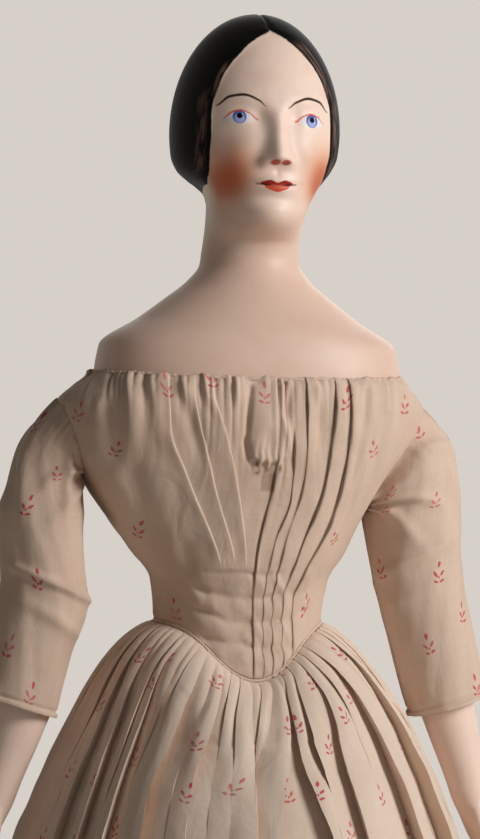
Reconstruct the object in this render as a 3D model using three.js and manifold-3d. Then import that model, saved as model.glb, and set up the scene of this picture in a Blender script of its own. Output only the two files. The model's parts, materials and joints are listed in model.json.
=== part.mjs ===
// China head doll: a hollow glazed shoulder head sewn to a stuffed cloth body with china forearms and
// lower legs, in a sprigged cotton dress with a pointed waist over one petticoat.
// Millimetres, +Z up, the doll faces -Y, its left is +X, origin on the floor under the skirt's middle.
import * as THREE from "three";
import { mergeVertices } from "three/addons/utils/BufferGeometryUtils.js";
import Module from "manifold-3d";

const wasm = await Module();
wasm.setup();

// Heights, stacked from the floor up
const skirtLength = 328; // floor to the waist at the sides
const bodiceLength = 86; // waist to neckline
const plateSideRise = 9; // neckline to the shoulder's edge
const shoulderRise = 28; // shoulder's edge to the root of the neck
const neckLength = 16; // root of the neck to under the chin
const headHeight = 73; // under the chin to the crown
const plateDepth = 20; // how far the shoulder plate reaches below the neckline
const pointDrop = 19; // how far the front waist dips below the side waist

// Shoulder head
const headWidth = 59.6;
const foreheadDepth = 30.5; // from the head's axis forwards
const backHeadDepth = 34; // from the head's axis backwards
const neckWidth = 33.6;
const shoulderWidth = 109;
const plateFront = 32; // from the head's axis to the front of the plate
const plateBack = 33;
const chinaWall = 3.6;
const noseLength = 5.2; // how far the nose stands out of the face
const bunHeight = 7; // how far the coiled hair stands out behind
const hairRelief = 1; // how far the moulded hair stands above the forehead
const headAxisY = -7; // the head is carried a little in front of the waist

// Stuffed body
const waistWidth = 52;
const waistDepth = 42;
const hipWidth = 70;
const hipDepth = 51;
const chestWidth = 83;
const chestDepth = 57;

// Limbs
const shoulderSpan = 106; // between the two shoulder pivots
const shoulderDrop = 28; // shoulder pivot below the neckline
const seamLean = 32; // degrees: how far the arm seam leans out from upright
const armLean = 13.5; // degrees: upper arm from upright
const forearmLean = 17; // degrees: forearm from upright
const upperArmLength = 52; // shoulder pivot to elbow
const forearmLength = 71; // elbow to wrist
const shoulderBall = 8; // radius of the stuffed arm at the shoulder
const elbowBall = 9;
const wristRadius = 7.2;
const palmLength = 20;
const palmWidth = 18;
const palmThickness = 8.6;
const fingerLength = 19;
const fingerRadius = 2.3;
const thumbLength = 19;
const thumbRadius = 2.5;
const hipSpan = 32;
const hipHeight = 250;
const hipBall = 13;
const kneeBall = 10.5;
const thighLength = 100; // hip pivot to knee
const soleHeight = 3; // clear of the floor, the skirt carries the doll
const footLength = 42;

// Cloth, thread and clearances
const clothWall = 1.2;
const gap = 0.4; // between pieces that touch
const threadRadius = 0.6;
const pipingRadius = 0.8;
const cuffLength = 9;
const cuffWall = 0.9;
const sewHoleRadius = 1.6;
const sewHoleSpan = 44; // between the two sew holes of one side
const elbowFlex = 40; // degrees
const kneeFlex = 25;
const hipSwing = 20;

// Dress
const armholeRadius = 19;
const sleeveElbow = 15.6; // sleeve radius at the elbow
const sleeveHem = 14.5;
const sleeveReach = 39; // below the elbow
const hemRadius = 142;
const foldCount = 20;
const foldDepth = 5; // at the hem
const flare = 0.57; // power of the skirt's bell curve
const pleatCount = 5; // on each half of the bodice front
const pleatRelief = 0.8;
const petticoatLift = 8; // petticoat hem above the floor
const petticoatBandHeight = 8;
const petticoatDrop = 28; // foot of the petticoat band below the side waist
const hookCount = 4;
const hookWire = 0.4;

const { sin, cos, abs, sqrt, PI, min, max } = Math;
const radians = THREE.MathUtils.degToRad;
const waistZ = skirtLength;
const necklineZ = waistZ + bodiceLength;
const shoulderZ = necklineZ + plateSideRise;
const neckRootZ = shoulderZ + shoulderRise;
const chinZ = neckRootZ + neckLength;
const crownZ = chinZ + headHeight;
const plateHemZ = necklineZ - plateDepth;
const headMidZ = chinZ + 0.425 * headHeight; // widest part of the hair
const pivotZ = necklineZ - shoulderDrop;
const pivotX = shoulderSpan / 2;
const pivotY = 0.6 * headAxisY;
const seamRise = new THREE.Vector3(sin(radians(seamLean)), 0, cos(radians(seamLean)));
const seamNormal = new THREE.Vector3(cos(radians(seamLean)), 0, -sin(radians(seamLean)));

// A smooth curve through a few [height, value] landmarks
function curve(landmarks) {
  const sorted = landmarks.slice().sort((a, b) => a[0] - b[0]);
  const slopes = sorted.map((point, i) => {
    if (i === 0 || i === sorted.length - 1) return 0;
    const before = (point[1] - sorted[i - 1][1]) / (point[0] - sorted[i - 1][0]);
    const after = (sorted[i + 1][1] - point[1]) / (sorted[i + 1][0] - point[0]);
    return before * after <= 0 ? 0 : (2 * before * after) / (before + after);
  });
  return (height) => {
    const last = sorted.length - 1;
    if (height <= sorted[0][0]) return sorted[0][1];
    if (height >= sorted[last][0]) return sorted[last][1];
    const i = sorted.findIndex((point) => point[0] > height) - 1;
    const span = sorted[i + 1][0] - sorted[i][0];
    const t = (height - sorted[i][0]) / span;
    const rise = sorted[i + 1][1] - sorted[i][1];
    const bend = t * (1 - t) * span * (slopes[i] * (1 - t) - slopes[i + 1] * t);
    return sorted[i][1] + rise * t * t * (3 - 2 * t) + bend;
  };
}

// Turns around one ring: angle 0 is the front, +X is a quarter turn
function turns(count, frontBias = 0) {
  return Array.from({ length: count }, (_, i) => {
    const even = ((i + 0.5) / count) * 2 * PI - PI;
    return even - frontBias * sin(even);
  });
}

// A point on an oval section with its own front, back and half width
function onOval(section, angle, height) {
  const power = 2 / (section.square ?? 2);
  const side = Math.sign(sin(angle)) * abs(sin(angle)) ** power;
  const ahead = Math.sign(cos(angle)) * abs(cos(angle)) ** power;
  const depth = ahead > 0 ? section.front : section.back;
  return new THREE.Vector3(section.half * side, (section.axis ?? 0) - depth * ahead, height);
}

const inset = (section, by) => ({
  ...section,
  half: section.half - by,
  front: section.front - by,
  back: section.back - by,
});

// Skin over a stack of rings, capped at both ends, or joined end to end
function loft(rings, joined = false) {
  const count = rings[0].length;
  const points = rings.flat();
  const faces = [];
  const bands = joined ? rings.length : rings.length - 1;
  for (let r = 0; r < bands; r++) {
    const low = r * count;
    const high = ((r + 1) % rings.length) * count;
    for (let i = 0; i < count; i++) {
      const next = (i + 1) % count;
      faces.push(low + i, low + next, high + next, low + i, high + next, high + i);
    }
  }
  if (!joined) {
    for (const [ring, flip] of [[0, true], [rings.length - 1, false]]) {
      const middle = new THREE.Vector3();
      rings[ring].forEach((point) => middle.addScaledVector(point, 1 / count));
      points.push(middle);
      for (let i = 0; i < count; i++) {
        const edge = [ring * count + i, ring * count + ((i + 1) % count)];
        if (flip) edge.reverse();
        faces.push(...edge, points.length - 1);
      }
    }
  }
  const geometry = new THREE.BufferGeometry().setFromPoints(points);
  geometry.setIndex(signedVolume(points, faces) < 0 ? faces.slice().reverse() : faces);
  return geometry;
}

function signedVolume(points, faces) {
  const cross = new THREE.Vector3();
  let sum = 0;
  for (let i = 0; i < faces.length; i += 3) {
    cross.crossVectors(points[faces[i + 1]], points[faces[i + 2]]);
    sum += points[faces[i]].dot(cross);
  }
  return sum;
}

// Round tube along a list of points, open ended or a closed loop
function tube(path, radius, sides, closed = false) {
  const rings = path.map((point, i) => {
    const before = path[closed ? (i + path.length - 1) % path.length : max(i - 1, 0)];
    const after = path[closed ? (i + 1) % path.length : min(i + 1, path.length - 1)];
    const along = after.clone().sub(before).normalize();
    const helper = abs(along.z) > 0.9 ? new THREE.Vector3(0, 1, 0) : new THREE.Vector3(0, 0, 1);
    const across = new THREE.Vector3().crossVectors(along, helper).normalize();
    const up = new THREE.Vector3().crossVectors(across, along);
    return ringAround(point, across, up, radius, sides);
  });
  return loft(rings, closed);
}

function ringAround(centre, across, up, radius, sides) {
  return Array.from({ length: sides }, (_, i) => {
    const angle = (i / sides) * 2 * PI;
    const point = centre.clone().addScaledVector(across, radius * cos(angle));
    return point.addScaledVector(up, radius * sin(angle));
  });
}

// Solid of revolution from [distance, radius] stations, laid along a direction
function turned(stations, start, direction, sides) {
  const profile = stations.map(([distance, radius]) => new THREE.Vector2(radius, -distance));
  const geometry = new THREE.LatheGeometry(profile.reverse(), sides);
  const turn = new THREE.Quaternion().setFromUnitVectors(new THREE.Vector3(0, -1, 0), direction);
  return geometry.applyQuaternion(turn).translate(start.x, start.y, start.z);
}

// Boolean helpers
function solidOf(geometry) {
  const bare = geometry.clone();
  for (const name of Object.keys(bare.attributes)) {
    if (name !== "position") bare.deleteAttribute(name);
  }
  const merged = mergeVertices(bare, 1e-4);
  const vertProperties = new Float32Array(merged.attributes.position.array);
  const triVerts = new Uint32Array(merged.index.array);
  return new wasm.Manifold(new wasm.Mesh({ numProp: 3, vertProperties, triVerts }));
}

function geometryOf(solid) {
  const mesh = solid.getMesh();
  const geometry = new THREE.BufferGeometry();
  geometry.setAttribute("position", new THREE.BufferAttribute(new Float32Array(mesh.vertProperties), 3));
  return geometry.setIndex(new THREE.BufferAttribute(new Uint32Array(mesh.triVerts), 1));
}

const cut = (geometry, ...tools) =>
  geometryOf(tools.reduce((solid, tool) => solid.subtract(solidOf(tool)), solidOf(geometry)));
const join = (...pieces) =>
  geometryOf(pieces.slice(1).reduce((solid, piece) => solid.add(solidOf(piece)), solidOf(pieces[0])));
const keep = (geometry, tool) => geometryOf(solidOf(geometry).intersect(solidOf(tool)));

// Finishes
const finish = (color, roughness) => new THREE.MeshStandardMaterial({ color, roughness, metalness: 0 });
const tintedChina = finish(0xe6c7b4, 0.2);
const paintedChina = finish(0xffffff, 0.2);
paintedChina.vertexColors = true;
const printedCotton = finish(0xcbb79c, 0.9);
const muslin = finish(0xd9cdb6, 0.95);
const whiteCotton = finish(0xe4ddcf, 0.9);
const linenThread = finish(0xd8c8a4, 0.8);
const hookMetal = new THREE.MeshStandardMaterial({ color: 0x6b6258, roughness: 0.45, metalness: 0.8 });
const hairBlack = new THREE.Color(0x0c0b0c);
const skinTint = new THREE.Color(0xe6c7b4);

const doll = new THREE.Group();

function addPiece(name, geometry, material, parent = doll) {
  const mesh = new THREE.Mesh(geometry, material);
  mesh.name = name;
  parent.add(mesh);
  return mesh;
}

// Shoulder head: half width, front and back of each level, measured from the head's axis
const headHalf = headWidth / 2;
const neckHalf = neckWidth / 2;
const shoulderHalf = shoulderWidth / 2;
const axisY = curve([[waistZ, 0], [plateHemZ, 0.7 * headAxisY], [necklineZ, headAxisY]]);
const headWidths = curve([
  [plateHemZ, shoulderHalf - 0.5],
  [necklineZ - 6, shoulderHalf],
  [shoulderZ, shoulderHalf - 1.8],
  [shoulderZ + 0.36 * shoulderRise, shoulderHalf - 16],
  [shoulderZ + 0.61 * shoulderRise, neckHalf + 0.33 * (shoulderHalf - neckHalf)],
  [shoulderZ + 0.82 * shoulderRise, neckHalf + 5],
  [neckRootZ + 1, neckHalf + 0.6],
  [neckRootZ + 0.45 * neckLength, neckHalf],
  [chinZ - 2, neckHalf + 0.2],
  [chinZ + 3, neckHalf + 1.2],
  [chinZ + 9, neckHalf + 3.7],
  [chinZ + 14, headHalf - 6.2],
  [chinZ + 18, headHalf - 3.4],
  [chinZ + 23, headHalf - 0.8],
  [headMidZ, headHalf],
]);
const headFronts = curve([
  [plateHemZ, plateFront],
  [necklineZ, plateFront - 1],
  [shoulderZ + 3, plateFront - 3.5],
  [shoulderZ + 0.6 * shoulderRise, plateFront - 10.5],
  [neckRootZ - 5, neckHalf + 1.7],
  [neckRootZ + 0.4 * neckLength, neckHalf - 0.3],
  [chinZ - 4, neckHalf + 0.9],
  [chinZ - 0.5, neckHalf + 5.4],
  [chinZ + 3, foreheadDepth - 4.4],
  [chinZ + 9, foreheadDepth - 2],
  [chinZ + 16, foreheadDepth - 1],
  [chinZ + 23, foreheadDepth - 0.4],
  [headMidZ, foreheadDepth],
]);
const headBacks = curve([
  [plateHemZ, plateBack],
  [necklineZ, plateBack - 0.5],
  [shoulderZ + 0.25 * shoulderRise, plateBack - 3],
  [shoulderZ + 0.6 * shoulderRise, plateBack - 7.5],
  [neckRootZ - 3, neckHalf + 4.6],
  [neckRootZ + 0.4 * neckLength, neckHalf + 2.7],
  [chinZ + 3, neckHalf + 4.6],
  [chinZ + 9, neckHalf + 8.5],
  [chinZ + 16, backHeadDepth - 4],
  [chinZ + 23, backHeadDepth - 0.5],
  [headMidZ, backHeadDepth],
]);

function headSection(z) {
  return {
    half: headWidths(z),
    front: headFronts(z),
    back: headBacks(z),
    axis: axisY(z),
    square: curve([[necklineZ, 2.35], [neckRootZ, 2.05]])(z),
  };
}

// Hairline: the angle from the front where the hair begins, rising to the centre parting
const degrees = (angle) => radians(angle);
const hairEdge = curve([
  [chinZ + 13.5, degrees(68)],
  [chinZ + 20, degrees(50)],
  [chinZ + 26, degrees(44.5)],
  [chinZ + 43, degrees(46)],
  [chinZ + 51.5, degrees(40)],
  [chinZ + 59, degrees(26.4)],
  [chinZ + 65.5, 0],
]);

function isHair(angle, z) {
  const hairFoot = chinZ + 12.5 - 5 * THREE.MathUtils.smoothstep(abs(angle), degrees(70), PI);
  return z > hairFoot && abs(angle) > hairEdge(z);
}

const swell = (across, up, wide, tall) => Math.exp(-((across / wide) ** 2) - (up / tall) ** 2);

// Relief of the face, in millimetres out of the plain oval
const noseRidge = curve([
  [chinZ + 17, 0],
  [chinZ + 19, 0.12],
  [chinZ + 22.3, 1],
  [chinZ + 30, 0.52],
  [chinZ + 36, 0.2],
  [chinZ + 40, 0],
]);
const noseWidth = curve([[chinZ + 19, 4.2], [chinZ + 26, 3.4], [chinZ + 36, 2.6]]);
const faceForms = [
  { across: 4.1, up: 21, wide: 2, tall: 2, relief: 1.1 }, // nostril wing
  { across: 11, up: 43, wide: 8, tall: 4, relief: 0.7 }, // brow
  { across: 12, up: 36.5, wide: 6, tall: 4.2, relief: -2.1 }, // eye socket
  { across: 6.2, up: 36, wide: 3, tall: 4.5, relief: -1.1 }, // corner beside the nose
  { across: 13, up: 36, wide: 4.6, tall: 2.6, relief: 1.4 }, // eyeball under its lids
  { across: 14, up: 21, wide: 8, tall: 8, relief: 0.9 }, // cheek
  { across: 0, up: 14, wide: 9, tall: 6, relief: 1.2 }, // round of the mouth
  { across: 0, up: 14.7, wide: 5, tall: 1.5, relief: 0.8 }, // upper lip
  { across: 0, up: 10.9, wide: 4.2, tall: 1.6, relief: 0.9 }, // lower lip
  { across: 0, up: 7.4, wide: 7, tall: 1.8, relief: -1 }, // hollow over the chin
  { across: 0, up: 2.8, wide: 8, tall: 4, relief: 2.2 }, // chin
];

function faceRelief(angle, z, half) {
  const bun = bunHeight * swell(half * sin(angle), z - chinZ - 23, 12, 12) * (cos(angle) < 0 ? 1 : 0);
  if (isHair(angle, z)) return bun + hairRelief;
  if (cos(angle) < 0 || z < chinZ - 6) return bun;
  const across = half * sin(angle);
  let relief = noseLength * noseRidge(z) * swell(across, 0, noseWidth(z), 1);
  for (const form of faceForms) {
    relief += form.relief * swell(abs(across) - form.across, z - chinZ - form.up, form.wide, form.tall);
  }
  return relief;
}

// One level of the head; the dome above the widest level follows an oval arch
function headRing(level, angles, wall) {
  const dome = max(0, level - headMidZ) / (crownZ - headMidZ);
  const z = wall > 0 && dome === 0 ? level + 0.7 * wall : level;
  const arch = sqrt(max(0, 1 - dome * dome));
  const height = headMidZ + dome * (crownZ - headMidZ - wall);
  return angles.map((angle) => {
    const section = headSection(min(z, headMidZ));
    const bare = inset(section, 0.8 * wall);
    const point = onOval(bare, angle, dome > 0 ? height : level);
    point.x *= arch;
    point.y = bare.axis + (point.y - bare.axis) * arch;
    if (wall > 0) return point;
    const relief = faceRelief(angle, level, bare.half * arch) * min(1, 3 * arch);
    return point.add(new THREE.Vector3(sin(angle), -cos(angle), 0).multiplyScalar(relief));
  });
}

// Angles of the crown's rings, from the widest level of the hair to near its top
const domeLevels = (count, from) =>
  Array.from({ length: count }, (_, i) => {
    const rise = from + ((i + 1) / count) * (1.5 - from);
    return headMidZ + (crownZ - headMidZ) * sin(rise);
  });

function evenLevels(low, high, count) {
  return Array.from({ length: count + 1 }, (_, i) => low + ((high - low) * i) / count);
}

const headTurns = 40;
const headBias = 0.5;
const headInnerLevels = [
  ...evenLevels(plateHemZ, shoulderZ, 2),
  ...evenLevels(shoulderZ, neckRootZ, 3).slice(1),
  chinZ - 4,
  chinZ + 10,
  headMidZ,
  ...domeLevels(3, 0.2),
];

function makeShoulderHead() {
  const angles = turns(headTurns, headBias);
  const outerLevels = [
    ...evenLevels(plateHemZ, shoulderZ, 4),
    ...evenLevels(shoulderZ, neckRootZ, 5).slice(1),
    ...evenLevels(neckRootZ, chinZ - 4, 3).slice(1),
    ...evenLevels(chinZ - 4, headMidZ, 17).slice(1),
    ...domeLevels(8, 0),
  ];
  const inner = headInnerLevels.map((z) => headRing(z, angles, chinaWall)).reverse();
  const outer = outerLevels.map((z) => headRing(z, angles, 0));
  const throughPlate = 3 * (plateFront + plateBack);
  const arches = [-1, 1].map((side) => {
    const arch = new THREE.CylinderGeometry(armholeRadius + 1, armholeRadius + 1, throughPlate, 28);
    return arch.translate(side * pivotX, pivotY, pivotZ);
  });
  const holes = [-1, 1].map((side) => {
    const hole = new THREE.CylinderGeometry(sewHoleRadius, sewHoleRadius, throughPlate, 12);
    return hole.translate((side * sewHoleSpan) / 2, 0, stitchZ);
  });
  const geometry = cut(loft([...inner, ...outer]), ...arches, ...holes);
  geometry.setAttribute("color", hairColours(geometry.attributes.position));
  addPiece("shoulder_head", geometry, paintedChina);
}

// Black painted hair over the tinted china
function hairColours(positions) {
  const colours = new Float32Array(positions.count * 3);
  for (let i = 0; i < positions.count; i++) {
    const angle = Math.atan2(positions.getX(i), headAxisY - positions.getY(i));
    const paint = isHair(angle, positions.getZ(i)) ? hairBlack : skinTint;
    paint.toArray(colours, i * 3);
  }
  return new THREE.BufferAttribute(colours, 3);
}

// Stuffed torso: swells and tapers from hips to shoulders, and fills the plate from inside
const torsoFootZ = hipHeight + hipBall * sin(radians(hipSwing)) + 1;
const torsoTopZ = shoulderZ + 0.45 * shoulderRise;
const torsoHalf = curve([
  [torsoFootZ, 0.43 * hipWidth],
  [torsoFootZ + 0.28 * (waistZ - torsoFootZ), hipWidth / 2],
  [waistZ - 3, waistWidth / 2],
  [waistZ + 0.5 * (pivotZ - waistZ), 0.8 * chestWidth * 0.5],
  [plateHemZ, chestWidth / 2 + 1],
]);
const torsoDepth = curve([
  [torsoFootZ, 0.4 * hipDepth],
  [torsoFootZ + 0.28 * (waistZ - torsoFootZ), hipDepth / 2],
  [waistZ - 3, waistDepth / 2],
  [waistZ + 0.5 * (pivotZ - waistZ), 0.93 * chestDepth * 0.5],
  [plateHemZ, chestDepth / 2 + 1],
]);

function torsoSection(z) {
  if (z >= plateHemZ) return inset(headSection(z + 0.7 * chinaWall), 0.8 * chinaWall + gap);
  return { half: torsoHalf(z), front: torsoDepth(z), back: torsoDepth(z) - 1, axis: axisY(z), square: 2.1 };
}

function makeTorso() {
  const angles = turns(headTurns, headBias);
  const free = [...evenLevels(torsoFootZ, waistZ, 4), ...evenLevels(waistZ, plateHemZ - 2, 4).slice(1)];
  const freeRings = free.map((z) => angles.map((angle) => onOval(torsoSection(z), angle, z)));
  const plateLevels = headInnerLevels.filter((z) => z < torsoTopZ);
  const body = loft([...freeRings, ...plateLevels.map((z) => headRing(z, angles, chinaWall + gap))]);
  const sockets = [-1, 1].map((side) =>
    new THREE.SphereGeometry(hipBall + 2 * gap, 16, 12).translate((side * hipSpan) / 2, 0, hipHeight));
  const arms = [-1, 1].map((side) =>
    new THREE.SphereGeometry(shoulderBall + gap, 14, 10).translate(side * pivotX, pivotY, pivotZ));
  addPiece("torso", cut(body, ...sockets, ...arms), muslin);
}

// Thread ties through the sew holes, over the plate's edge and back to the torso
const stitchZ = plateHemZ + 6;

function makeHeadStitches() {
  const low = plateHemZ - 3.2;
  const angleAt = (z, section) => Math.asin(min(1, sewHoleSpan / 2 / section(z).half));
  for (const [face, ahead] of [["front", 1], ["back", -1]]) {
    for (const [name, side] of [["right", -1], ["left", 1]]) {
      const depthAt = (section, z, out) => {
        const angle = angleAt(z, section);
        return onOval(section(z), ahead > 0 ? angle : PI - angle, z).y - ahead * out;
      };
      const x = (side * sewHoleSpan) / 2;
      const proud = gap + threadRadius;
      const path = [
        [depthAt(torsoSection, stitchZ, proud), stitchZ],
        [depthAt(headSection, stitchZ, gap), stitchZ],
        [depthAt(headSection, stitchZ, proud + 1.6 * gap), stitchZ - 1.2],
        [depthAt(headSection, plateHemZ, proud + 1.6 * gap), low + 1.2],
        [depthAt(headSection, plateHemZ, -1), low],
        [depthAt(torsoSection, low, proud), low],
      ].map(([y, z]) => new THREE.Vector3(x, y, z));
      addPiece(`head_stitch_${face}_${name}`, tube(path, threadRadius, 6), linenThread);
    }
  }
}

// Bodice: wraps the plate and the torso, from the pointed waist seam to the neckline
const threadRoom = 2 * threadRadius + 3.6 * gap + clothWall;
const armholeTop = new THREE.Vector3(pivotX, 0, pivotZ).addScaledVector(seamRise, armholeRadius);
const armholeFoot = new THREE.Vector3(pivotX, 0, pivotZ).addScaledVector(seamRise, -armholeRadius);
const bodiceHalf = curve([
  [waistZ - pointDrop, waistWidth / 2 + 6],
  [waistZ - 4, waistWidth / 2 + clothWall + 2.2],
  [waistZ + 14, waistWidth / 2 + clothWall + 4.2],
  [waistZ + 0.4 * (pivotZ - waistZ), torsoHalf(waistZ + 0.4 * (pivotZ - waistZ)) + clothWall + 3.2],
  [armholeFoot.z - 6, armholeFoot.x - 1],
  [armholeFoot.z + 8, armholeFoot.x + 7],
  [pivotZ + 8, armholeTop.x - 2.5],
  [armholeTop.z, armholeTop.x],
  [necklineZ, shoulderHalf + gap + clothWall],
]);
const bodiceFront = curve([
  [waistZ - pointDrop, waistDepth / 2 + 5.5],
  [waistZ, waistDepth / 2 + clothWall + 2.3],
  [waistZ + 0.5 * (pivotZ - waistZ), 0.93 * chestDepth * 0.5 + clothWall + 2.5],
  [plateHemZ, plateFront + threadRoom],
  [necklineZ, plateFront - 1 + gap + clothWall],
]);
const bodiceBack = curve([
  [waistZ - pointDrop, waistDepth / 2 + 4],
  [waistZ, waistDepth / 2 + clothWall + 1.3],
  [waistZ + 0.5 * (pivotZ - waistZ), 0.93 * chestDepth * 0.5 + clothWall + 0.5],
  [plateHemZ, plateBack + threadRoom],
  [necklineZ, plateBack - 0.5 + gap + clothWall],
]);

function bodiceSection(z) {
  return {
    half: bodiceHalf(z),
    front: bodiceFront(z),
    back: bodiceBack(z),
    axis: axisY(z),
    square: curve([[waistZ, 2.1], [pivotZ - 12, 2.5], [necklineZ, 2.4]])(z),
  };
}

// The waist seam dips to a soft point in front
const waistSeam = (angle) => waistZ - pointDrop * Math.exp(-((angle / 0.62) ** 2));

// Fanned pleats: fine ridges that draw together towards the waist point
function pleats(x, height) {
  const spread = 8 + 30 * height ** 1.3;
  const place = abs(x) / spread;
  return place > 1 ? 0 : pleatRelief * abs(cos(pleatCount * PI * place)) ** 0.7;
}

function bodiceRing(height, angles, wall) {
  return angles.map((angle) => {
    const foot = waistSeam(angle);
    const z = foot + height * (necklineZ - foot);
    const point = onOval(inset(bodiceSection(z), wall), angle, z);
    if (wall > 0 || cos(angle) < 0.2) return point;
    return point.add(new THREE.Vector3(0, -pleats(point.x, height), 0));
  });
}

// What lies outside one arm seam, where the sleeve turns
function beyondSeam(side) {
  const reach = 3 * armholeRadius;
  const block = new THREE.CylinderGeometry(armholeRadius + 4 * gap, armholeRadius + 4 * gap, reach, 28);
  block.translate(0, reach / 2 - gap, 0);
  const normal = new THREE.Vector3(side * seamNormal.x, 0, seamNormal.z);
  block.applyQuaternion(new THREE.Quaternion().setFromUnitVectors(new THREE.Vector3(0, 1, 0), normal));
  return block.translate(side * pivotX, pivotY, pivotZ);
}

function makeBodice() {
  const angles = turns(56, 0.45);
  const heights = [0, 0.1, 0.22, 0.36, 0.5, 0.64, 0.78, 0.9, 1];
  const outer = heights.map((height) => bodiceRing(height, angles, 0));
  const lining = heights.filter((_, i) => i % 2 === 0).map((height) => bodiceRing(height, angles, clothWall));
  const shell = cut(loft([...outer, ...lining.reverse()], true), beyondSeam(1), beyondSeam(-1));
  const sideSeamY = 0.5 * headAxisY;
  const far = 1.5 * shoulderWidth;
  const part = (lowX, highX, lowY, highY) =>
    new THREE.BoxGeometry(highX - lowX, highY - lowY, 4 * bodiceLength).translate(
      (lowX + highX) / 2, (lowY + highY) / 2, (waistZ + necklineZ) / 2);
  const edge = gap / 2;
  addPiece("bodice_front", keep(shell, part(-far, far, -far, sideSeamY - edge)), printedCotton);
  addPiece("bodice_back_right", keep(shell, part(-far, -edge, sideSeamY + edge, far)), printedCotton);
  addPiece("bodice_back_left", keep(shell, part(edge, far, sideSeamY + edge, far)), printedCotton);
}

// A closed cord laid along a level of the bodice
function bodiceCord(levelOf, radius, count) {
  const path = turns(count, 0.3).map((angle) => {
    const z = levelOf(angle);
    return onOval(inset(bodiceSection(z), clothWall / 2), angle, z);
  });
  return tube(path, radius, 6, true);
}

const pipingZ = (angle) => waistSeam(angle) - pipingRadius - 1.4 * gap;

function makeEdgeCords() {
  const necklineLevel = () => necklineZ + threadRadius + gap;
  addPiece("neckline_cord", bodiceCord(necklineLevel, threadRadius, 36), printedCotton);
  addPiece("waist_piping", bodiceCord(pipingZ, pipingRadius, 40), printedCotton);
}

// Hooks on the left back edge, eyes on the right
function makeBackFastening() {
  for (let i = 0; i < hookCount; i++) {
    const z = waistZ + ((i + 0.5) / hookCount) * (bodiceLength - 6);
    const back = onOval(bodiceSection(z), PI, z).y + gap + hookWire;
    const at = ([x, out, up]) => new THREE.Vector3(x, back + out, z + up);
    const hook = [[6, 0, 0], [2.7, 0, 0], [1.8, 1.5, 0], [-0.3, 1.5, 0], [-1, 0.8, 0]].map(at);
    const bend = Array.from({ length: 5 }, (_, k) => (k / 4 - 0.5) * PI);
    const loop = bend.map((turn) => [-0.7 + 1.5 * cos(turn), 0, 1.5 * sin(turn)]);
    const eye = [[-5.5, 0, -1.5], ...loop, [-5.5, 0, 1.5]].map(at);
    addPiece(`back_hook_${i + 1}`, tube(hook, hookWire, 5), hookMetal);
    addPiece(`back_eye_${i + 1}`, tube(eye, hookWire, 5), hookMetal);
  }
}

// Skirt: a bell that falls from the waist seam to the floor in gathered folds
const skirtTop = (angle) => pipingZ(angle) - pipingRadius - 1.9 * gap;
const foldAt = (fall) => 0.8 + (foldDepth - 0.8) * sqrt(fall);

function skirtSection(angle, z) {
  const top = skirtTop(angle);
  const spread = max(0, (top - z) / top) ** flare;
  const waist = inset(bodiceSection(top), 0);
  const out = (size) => size + (hemRadius - size) * spread;
  return {
    half: out(waist.half),
    front: out(waist.front),
    back: out(waist.back),
    axis: waist.axis * (1 - spread),
    square: 2,
  };
}

function skirtRing(fall, angles, wall) {
  return angles.map((angle) => {
    const z = skirtTop(angle) * (1 - fall);
    const fold = foldAt(fall) * cos(foldCount * angle);
    return onOval(inset(skirtSection(angle, z), wall - fold), angle, z);
  });
}

const skirtFalls = [0, 0.02, 0.07, 0.18, 0.4, 0.7, 1];

function makeSkirt() {
  const angles = Array.from({ length: 4 * foldCount }, (_, i) => (i / (4 * foldCount)) * 2 * PI - PI);
  const outer = skirtFalls.map((fall) => skirtRing(fall, angles, 0));
  const inner = skirtFalls.map((fall) => skirtRing(fall, angles, clothWall)).reverse();
  addPiece("skirt", loft([...outer, ...inner], true), printedCotton);
}

// Petticoat: a plain gathered bell on a band, inside every fold of the skirt
const bandFootZ = waistZ - petticoatDrop;

function petticoatRing(z, angles, wall) {
  return angles.map((angle) => {
    const fall = max(0, 1 - z / skirtTop(angle));
    const room = inset(skirtSection(angle, z), clothWall + foldAt(fall) + 2.5 + wall);
    return onOval(room, angle, z);
  });
}

function bandRing(z, angles, out) {
  return angles.map((angle) => onOval(inset(torsoSection(z), -out), angle, z));
}

function makePetticoat() {
  const angles = turns(32);
  const bandTopZ = bandFootZ + petticoatBandHeight;
  const band = [
    bandRing(bandFootZ, angles, gap + clothWall),
    bandRing(bandTopZ, angles, gap + clothWall),
    bandRing(bandTopZ, angles, gap),
    bandRing(bandFootZ, angles, gap),
  ];
  addPiece("petticoat_band", loft(band, true), whiteCotton);
  const topZ = bandFootZ - gap;
  const levels = [topZ - 9, topZ - 40, 0.55 * topZ, 0.25 * topZ, petticoatLift];
  const outer = [bandRing(topZ, angles, gap + clothWall), ...levels.map((z) => petticoatRing(z, angles, 0))];
  const inner = [bandRing(topZ, angles, gap), ...levels.map((z) => petticoatRing(z, angles, clothWall))];
  addPiece("petticoat", loft([...outer, ...inner.reverse()], true), whiteCotton);
}

// Arms: pivot, elbow and wrist of one side
function armFrame(side) {
  const lean = (angle) => new THREE.Vector3(side * sin(radians(angle)), 0, -cos(radians(angle)));
  const shoulder = new THREE.Vector3(side * pivotX, pivotY, pivotZ);
  const elbow = shoulder.clone().addScaledVector(lean(armLean), upperArmLength);
  return { shoulder, elbow, upper: lean(armLean), fore: lean(forearmLean) };
}

// Stations of a rounded end on a turned limb
function roundEnd(radius, from, to, count) {
  return Array.from({ length: count + 1 }, (_, i) => {
    const angle = from + ((to - from) * i) / count;
    return [-radius * cos(angle), radius * sin(angle)];
  });
}

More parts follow.
